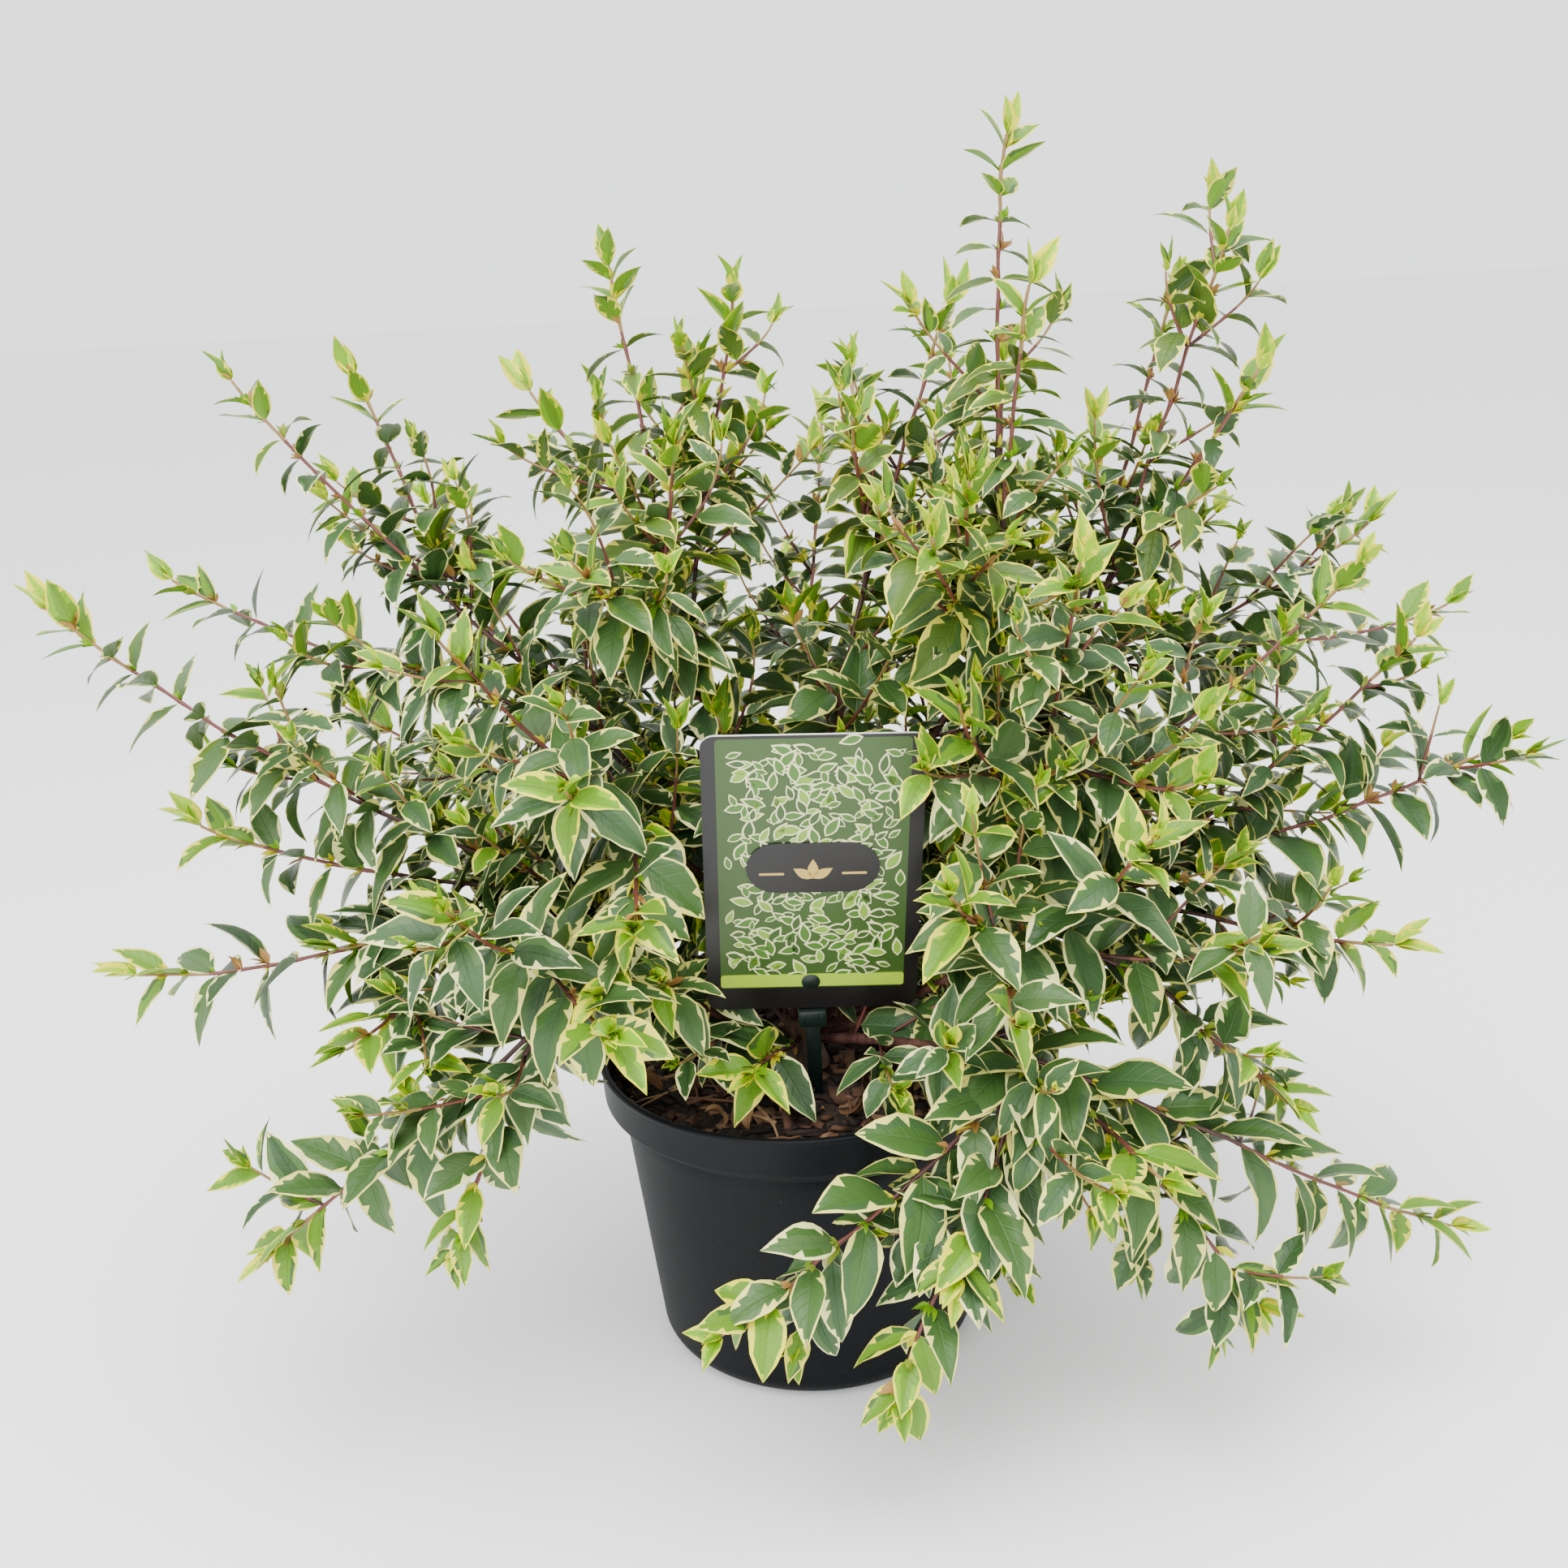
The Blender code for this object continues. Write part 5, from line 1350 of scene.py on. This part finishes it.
def build_pot():
    """Show the nursery pot: a thin rolled rim, a soft step under the lip and a faint line."""
    lip_foot = POT_HEIGHT - LIP_HEIGHT
    inner = RIM_RADIUS - LIP_WALL
    profile = [(0.0, WALL), (FOOT_RADIUS - FOOT_ROUND, WALL), (FOOT_RADIUS - WALL, FOOT_ROUND + WALL)]
    profile += [(pot_outer_radius(lip_foot - WALL) - WALL, lip_foot - WALL), (inner, lip_foot + WALL)]
    profile += [(inner, POT_HEIGHT - 0.004), (inner + 0.0012, POT_HEIGHT - 0.0022)]
    profile += arc(RIM_RADIUS - 2 * RIM_EDGE, POT_HEIGHT - RIM_EDGE, RIM_EDGE, 180, 90, 4)
    profile += arc(RIM_RADIUS - RIM_EDGE, POT_HEIGHT - RIM_EDGE, RIM_EDGE, 90, -40, 8)
    profile += [(RIM_RADIUS - 0.0009, POT_HEIGHT - 0.0034)]
    foot_radius = RIM_RADIUS - LIP_DRAFT
    profile += arc(foot_radius - LIP_FILLET, lip_foot + LIP_FILLET, LIP_FILLET, 0, -70, 6)
    body = pot_outer_radius(lip_foot)
    profile += [(body + 0.0016, lip_foot + 0.0002), (body + 0.0003, lip_foot - 0.0010)]
    line_level = lip_foot - LINE_BELOW_LIP
    for offset, depth in ((0.0012, 0.0), (0.0004, 1.0), (-0.0004, 1.0), (-0.0012, 0.0)):
        height = line_level + offset
        profile.append((pot_outer_radius(height) - depth * LINE_DEPTH, height))
    levels = np.linspace(line_level - 0.006, FOOT_ROUND, 12)
    profile += [(pot_outer_radius(height), height) for height in levels]
    profile += arc(FOOT_RADIUS - FOOT_ROUND, FOOT_ROUND, FOOT_ROUND, -8, -90, 9)
    profile += [(FOOT_RADIUS - FOOT_ROUND - 0.004, 0.0), (FOOT_RADIUS - FOOT_ROUND - 0.006, 0.0012)]
    profile += [(0.0, 0.0012)]
    mesh = plain_mesh("pot_shell", turned(profile, POT_STEPS), [pot_finish()], 38)
    piece("pot_shell", mesh, ["pot"])


def soil_height(x, y):
    """Return the height of the mix's lumpy surface."""
    radius = math.hypot(x, y)
    edge = RIM_RADIUS - LIP_WALL - GAP
    drop = SOIL_EDGE_DROP * max(0.0, radius - SOIL_CROWN_RADIUS) / (edge - SOIL_CROWN_RADIUS)
    spot = Vector((x * 70.0, y * 70.0, 0.0))
    lumps = noise.noise(spot) + 0.6 * noise.noise(spot * 2.7) + 0.35 * noise.noise(spot * 6.0)
    return SOIL_LEVEL - drop - 0.0008 + SOIL_LUMPS * 0.6 * lumps


def build_soil():
    """Show the potting mix: a lumpy plug that fills the pot."""
    edge = RIM_RADIUS - LIP_WALL - GAP
    lip_foot = POT_HEIGHT - LIP_HEIGHT
    clear = WALL + GAP
    profile = [(0.0, SOIL_LEVEL)] + [(edge * i / SOIL_RINGS, SOIL_LEVEL) for i in range(1, SOIL_RINGS + 1)]
    top = len(profile)
    profile += [(edge, lip_foot + WALL + GAP), (pot_outer_radius(lip_foot - WALL) - clear, lip_foot - WALL)]
    profile += [(FOOT_RADIUS - clear, FOOT_ROUND + clear), (FOOT_RADIUS - FOOT_ROUND - GAP, clear)]
    profile += [(0.0, clear)]

    def lump(point, number):
        if number >= top:
            return point
        return Vector((point.x, point.y, soil_height(point.x, point.y)))

    mesh = plain_mesh("potting_mix", turned(profile, SOIL_STEPS, lump), [soil_finish()], 70)
    piece("potting_mix", mesh, ["soil"])


def mix_spot(rng, reach):
    """Choose a place on the mix, clear of the rim, the woody base and the pick."""
    limit = RIM_RADIUS - LIP_WALL - 0.002 - reach
    while True:
        radius = limit * math.sqrt(rng.random())
        angle = rng.uniform(0.0, 2 * math.pi)
        x = radius * math.cos(angle)
        y = radius * math.sin(angle)
        on_pick = abs(x - LABEL_FOOT.x) < 0.005 + reach and abs(y - LABEL_FOOT.y) < 0.003 + reach
        if radius > BASE_FOOT_RADIUS + reach and not on_pick:
            return x, y


def build_chips():
    """Show the bark chips that lie on the mix."""
    rng = random.Random(SEED + 1)
    chips = Sprays()
    corners = np.array([(x, y, z) for x in (-1, 1) for y in (-1, 1) for z in (-1, 1)], float) / 2
    faces = np.array([(0, 1, 3), (0, 3, 2), (4, 6, 7), (4, 7, 5), (0, 4, 5), (0, 5, 1)])
    faces = np.vstack([faces, [(2, 3, 7), (2, 7, 6), (0, 2, 6), (0, 6, 4), (1, 5, 7), (1, 7, 3)]])
    for _ in range(CHIP_COUNT):
        length = rng.uniform(0.003, 0.011) * rng.choice((1.0, 1.0, 1.7))
        size = np.array([length, length * rng.uniform(0.25, 0.6), rng.uniform(0.0008, 0.0026)])
        x, y = mix_spot(rng, length / 2)
        jitter = np.array([[rng.uniform(-0.22, 0.22) for _ in range(3)] for _ in range(8)])
        shape = (corners + jitter) * size
        shape[:, 2] += 0.08 * shape[:, 0] * rng.uniform(-1, 1)
        turn = tumbled(rng.uniform(0, 6.28), rng.uniform(-0.45, 0.45), rng.uniform(-0.35, 0.35))
        place = np.array([x, y, soil_height(x, y) + size[2] * rng.uniform(0.1, 0.6) + 0.0004])
        tone = rng.choice((0, 0, 1, 1, 2, 3))
        chips.add(shape @ turn + place, faces, np.full(len(faces), tone), corners[:, :2] + 0.5)
    finishes = [
        matt_finish("chip_black", linear(30, 23, 19), 0.9),
        matt_finish("chip_dark", linear(50, 36, 28), 0.9),
        matt_finish("chip_brown", linear(84, 58, 42), 0.85),
        matt_finish("chip_pale", linear(122, 92, 68), 0.85),
    ]
    piece("bark_chips", chips.mesh("bark_chips", finishes, smooth=False))


def build_litter():
    """Show the dry curled leaves and twigs that have dropped on the mix."""
    rng = random.Random(SEED + 2)
    leaves = Sprays()
    for _ in range(DRY_LEAF_COUNT):
        length = rng.uniform(0.012, 0.026)
        x, y = mix_spot(rng, length * 0.75)
        points, faces, _, marks = rng.choice(DRY)
        spin = rng.uniform(0, 6.28)
        roll = rng.uniform(-0.4, 0.4)
        pitch = rng.choice((0.0, math.pi)) + rng.uniform(-0.3, 0.3)
        placed = (points * length) @ tumbled(spin, roll, pitch)
        placed += np.array([x, y, 0.0]) - placed.mean(axis=0) * np.array([1.0, 1.0, 0.0])
        placed[:, 2] += soil_height(x, y) + 0.0012 - placed[:, 2].min()
        leaves.add(placed, faces, np.full(len(faces), rng.choice((0, 0, 1, 2))), marks)
    twigs = Sprays()
    for _ in range(DRY_TWIG_COUNT):
        length = rng.uniform(0.014, 0.050)
        x, y = mix_spot(rng, length / 2)
        angle = rng.uniform(0, 6.28)
        points = []
        for i in range(7):
            reach = length * (i / 6 - 0.5)
            spot = Vector((x + reach * math.cos(angle), y + reach * math.sin(angle), 0.0))
            bow = 0.0016 * math.sin(math.pi * i / 6)
            points.append((spot.x + bow, spot.y - bow, soil_height(spot.x, spot.y) + 0.0022 + bow))
        radii = np.linspace(rng.uniform(0.0006, 0.0011), 0.0004, 7)
        twigs.add(*tube(points, radii, 6, np.full(6, rng.choice((0, 1)))))
    dry = [
        leaf_finish("dry_tan", linear(150, 116, 80), 0.7),
        leaf_finish("dry_brown", linear(110, 78, 52), 0.7),
        leaf_finish("dry_dark", linear(76, 54, 40), 0.7),
    ]
    sticks = [
        matt_finish("stick_pale", linear(156, 124, 88), 0.8),
        matt_finish("stick_brown", linear(108, 76, 54), 0.8),
    ]
    piece("dry_leaves", leaves.mesh("dry_leaves", dry))
    piece("dry_twigs", twigs.mesh("dry_twigs", sticks))


class Board:
    """The card in the making: thin shapes laid on one another in the card's own plane."""

    def __init__(self):
        self.body = bmesh.new()
        self.front = -CARD_THICKNESS / 2
        self.place = card_place()

    def lay(self, outline, back, front, slot, edge_slot=None):
        """Lay a convex shape, given as points across and up the card, between two depths."""
        rear = [self.body.verts.new(self.place @ Vector((x, back, z))) for x, z in outline]
        face = [self.body.verts.new(self.place @ Vector((x, front, z))) for x, z in outline]
        count = len(outline)
        made = self.body.faces.new(face)
        made.material_index = slot
        walls = [self.body.faces.new(rear[::-1])]
        for i in range(count):
            j = (i + 1) % count
            walls.append(self.body.faces.new([rear[i], rear[j], face[j], face[i]]))
        for wall in walls:
            wall.material_index = slot if edge_slot is None else edge_slot

    def stamp(self, outline, level, slot):
        """Lay a printed shape on the card's face, a level of ink above the last."""
        self.lay(outline, self.front, self.front - level * PRINT_STEP, slot)


def rounded(width, height, corner, centre=(0.0, 0.0), steps=6):
    """List the outline of a rectangle with round corners."""
    outline = []
    for number in range(4):
        side_x = 1 if number in (0, 3) else -1
        side_z = 1 if number in (0, 1) else -1
        x = centre[0] + side_x * (width / 2 - corner)
        z = centre[1] + side_z * (height / 2 - corner)
        outline += arc(x, z, corner, 90 * number, 90 * number + 90, steps)
    return outline


def leaf_outline(x, z, length, width, angle):
    """List the outline of a small printed leaf."""
    outline = []
    for side, shares in ((1, np.linspace(0.0, 1.0, 6)), (-1, np.linspace(0.8, 0.2, 4))):
        for share in shares:
            along = length * share
            across = side * width / 2 * math.sin(math.pi * share ** 0.85)
            outline.append(
                (
                    x + along * math.cos(angle) - across * math.sin(angle),
                    z + along * math.sin(angle) + across * math.cos(angle),
                )
            )
    return outline


def build_card():
    """Show the picture card: a dark frame round a generic print of leaves, with lime bands."""
    rng = random.Random(SEED + 3)
    board = Board()
    inks = [
        print_finish("card_dark", linear(24, 20, 22)),
        print_finish("card_edge", linear(206, 204, 198), 0.6),
        print_finish("card_ground", linear(56, 82, 34)),
        print_finish("card_leaf_green", linear(72, 112, 40)),
        print_finish("card_leaf_pale", linear(124, 164, 52)),
        print_finish("card_leaf_cream", linear(226, 226, 170)),
        print_finish("card_lime", linear(166, 200, 50)),
        print_finish("card_gold", linear(196, 164, 84)),
    ]
    outline = rounded(CARD_WIDTH, CARD_HEIGHT, CARD_CORNER)
    board.lay(outline, CARD_THICKNESS / 2, board.front, 0, 1)
    panel_width = CARD_WIDTH - 0.0125
    panel_low = -CARD_HEIGHT / 2 + 0.012
    panel_high = CARD_HEIGHT / 2 - 0.0015
    middle = (panel_low + panel_high) / 2
    board.stamp(rounded(panel_width, panel_high - panel_low, 0.002, (0.0, middle)), 1, 2)
    level = 2
    for row in range(24):
        for column in range(15):
            x = (column - 7) * panel_width / 15.2 + rng.uniform(-0.003, 0.003)
            z = panel_low + 0.009 + row * 0.0053 + rng.uniform(-0.003, 0.003)
            angle = rng.uniform(-0.3, math.pi + 0.3)
            length = rng.uniform(0.006, 0.012)
            tip_x = x + length * math.cos(angle)
            tip_z = z + length * math.sin(angle)
            if max(abs(tip_x), abs(x)) > panel_width / 2 - 0.0025 or tip_z > panel_high - 0.002:
                continue
            width = length * rng.uniform(0.42, 0.52)
            board.stamp(leaf_outline(x, z, length, width, angle), level % 14 + 2, 5)
            inner = leaf_outline(
                x + 0.08 * length * math.cos(angle),
                z + 0.08 * length * math.sin(angle),
                length * 0.80,
                width * 0.72,
                angle,
            )
            board.stamp(inner, level % 14 + 2.5, rng.choice((3, 3, 4, 2)))
            level += 1
    board.stamp(rounded(0.058, 0.026, 0.013, (0.0, 0.006)), 18, 0)
    for angle in (0.55, 1.57, 2.59):
        board.stamp(leaf_outline(0.0, 0.0005, 0.010, 0.0048, angle), 19, 7)
    for side in (-1, 1):
        board.stamp(rounded(0.011, 0.0012, 0.0006, (side * 0.018, 0.003)), 19, 7)
    board.stamp(rounded(panel_width, 0.0065, 0.001, (0.0, panel_low + 0.0045)), 18, 6)
    mesh = plain_mesh("picture_card", board.body, inks)
    piece("picture_card", mesh, ["label_card"])


def add_block(body, size, place, bevel):
    """Add a bevelled block to a bmesh, centred on a placing matrix."""
    made = bmesh.ops.create_cube(body, size=1.0)["verts"]
    bmesh.ops.scale(body, vec=size, verts=made)
    edges = list(dict.fromkeys(edge for vert in made for edge in vert.link_edges))
    rounded_edges = bmesh.ops.bevel(body, geom=edges, offset=bevel, segments=2, affect="EDGES", profile=0.5)
    whole = [vert for vert in made if vert.is_valid] + rounded_edges["verts"]
    bmesh.ops.transform(body, matrix=place, verts=list(dict.fromkeys(whole)))


def build_pick():
    """Show the pick: a strip into the mix, a clip under the card and a headed peg through it."""
    body = bmesh.new()
    rear = (CARD_THICKNESS + PICK_THICKNESS) / 2 + GAP
    clip_middle = CARD_RISE - CLIP_DROP - CLIP_HEIGHT / 2
    back = label_place(Vector((0.0, rear, clip_middle + PICK_BACK_HEIGHT / 2)))
    add_block(body, (PICK_WIDTH, PICK_THICKNESS, PICK_BACK_HEIGHT), back, 0.0004)
    strip = label_place(Vector((0.0, 0.0, (clip_middle - PICK_DEPTH) / 2)))
    add_block(body, (PICK_WIDTH, PICK_THICKNESS, PICK_DEPTH + clip_middle), strip, 0.0004)
    clip = label_place(Vector((0.0, 0.0, clip_middle)))
    add_block(body, (CLIP_WIDTH, CLIP_DEPTH, CLIP_HEIGHT), clip, 0.0008)
    for side in (-1, 1):
        rib = label_place(Vector((side * CLIP_WIDTH * 0.32, -CLIP_DEPTH / 2, clip_middle)))
        add_block(body, (0.0012, 0.0006, CLIP_HEIGHT * 0.7), rib, 0.0002)
    head_rear = -CARD_THICKNESS / 2 - GAP - 20 * PRINT_STEP
    head_front = -CARD_THICKNESS / 2 - GAP - PEG_HEAD_THICKNESS
    peg = [(0.0, rear), (PEG_RADIUS, rear), (PEG_RADIUS, head_rear), (PEG_HEAD_RADIUS, head_rear)]
    peg += [(PEG_HEAD_RADIUS, head_front + 0.0004), (PEG_HEAD_RADIUS - 0.0005, head_front), (0.0, head_front)]
    pin = turned(peg, 32)
    bmesh.ops.rotate(pin, matrix=Matrix.Rotation(math.radians(-90.0), 3, "X"), verts=pin.verts)
    bmesh.ops.transform(pin, matrix=label_place(Vector((0.0, 0.0, CARD_RISE + PEG_RISE))), verts=pin.verts)
    holder = bpy.data.meshes.new("pin")
    pin.to_mesh(holder)
    pin.free()
    body.from_mesh(holder)
    bpy.data.meshes.remove(holder)
    finish = Finish("pick_plastic", linear(20, 34, 30), 0.38)
    mould = finish.grain(240.0, 3.0)
    finish.set("Roughness", 0.3 + mould * 0.16)
    finish.relief(mould, 0.15, 0.0004)
    mesh = plain_mesh("pick_moulding", body, [finish.material], 40)
    piece("pick_moulding", mesh, ["label_pick"])


def build_stage():
    """Lay the pale floor and hang the soft lights."""
    body = bmesh.new()
    bmesh.ops.create_grid(body, x_segments=1, y_segments=1, size=FLOOR_SIZE)
    floor_finish = Finish("floor_paper", (0.93, 0.93, 0.93), 0.9)
    mesh = plain_mesh("floor", body, [floor_finish.material])
    put("floor", mesh)
    world = bpy.data.worlds.new("studio")
    world.use_nodes = True
    sky = world.node_tree.nodes["Background"]
    sky.inputs["Color"].default_value = (*SKY_COLOUR, 1.0)
    sky.inputs["Strength"].default_value = SKY_STRENGTH
    bpy.context.scene.world = world
    for name, place, size, power in LIGHTS:
        data = bpy.data.lights.new(name, "AREA")
        data.shape = "DISK"
        data.size = size
        data.energy = power
        lamp = put(name, data)
        lamp.location = place
        lamp.rotation_euler = (LIGHT_AIM - Vector(place)).to_track_quat("-Z", "Y").to_euler()


def place_camera():
    """Set the camera where the photograph was taken from."""
    data = bpy.data.cameras.new("camera")
    data.sensor_width = SENSOR_WIDTH
    data.lens = SENSOR_WIDTH * FOCAL_PIXELS / PHOTO_SIZE
    data.clip_start = 0.01
    data.clip_end = 50.0
    camera = put("camera", data)
    forward = Vector((0.0, math.cos(CAMERA_PITCH), -math.sin(CAMERA_PITCH)))
    level = Vector((1.0, 0.0, 0.0))
    upright = level.cross(forward)
    right = level * math.cos(CAMERA_ROLL) + upright * math.sin(CAMERA_ROLL)
    up = upright * math.cos(CAMERA_ROLL) - level * math.sin(CAMERA_ROLL)
    turn = Matrix((right, up, -forward)).transposed().to_4x4()
    camera.matrix_world = Matrix.Translation(CAMERA_PLACE) @ turn
    bpy.context.scene.camera = camera


def write_sizes():
    """Bring the scene's placings up to date."""
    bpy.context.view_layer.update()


def main():
    """Dress the whole plant."""
    place_camera()
    build_stage()
    build_pot()
    build_soil()
    build_chips()
    build_litter()
    build_card()
    build_pick()
    build_woody_base()
    cane_curves = lay_out_canes()
    build_canes(cane_curves)
    build_crown(cane_curves, lay_out_shoots(cane_curves))
    write_sizes()


main()
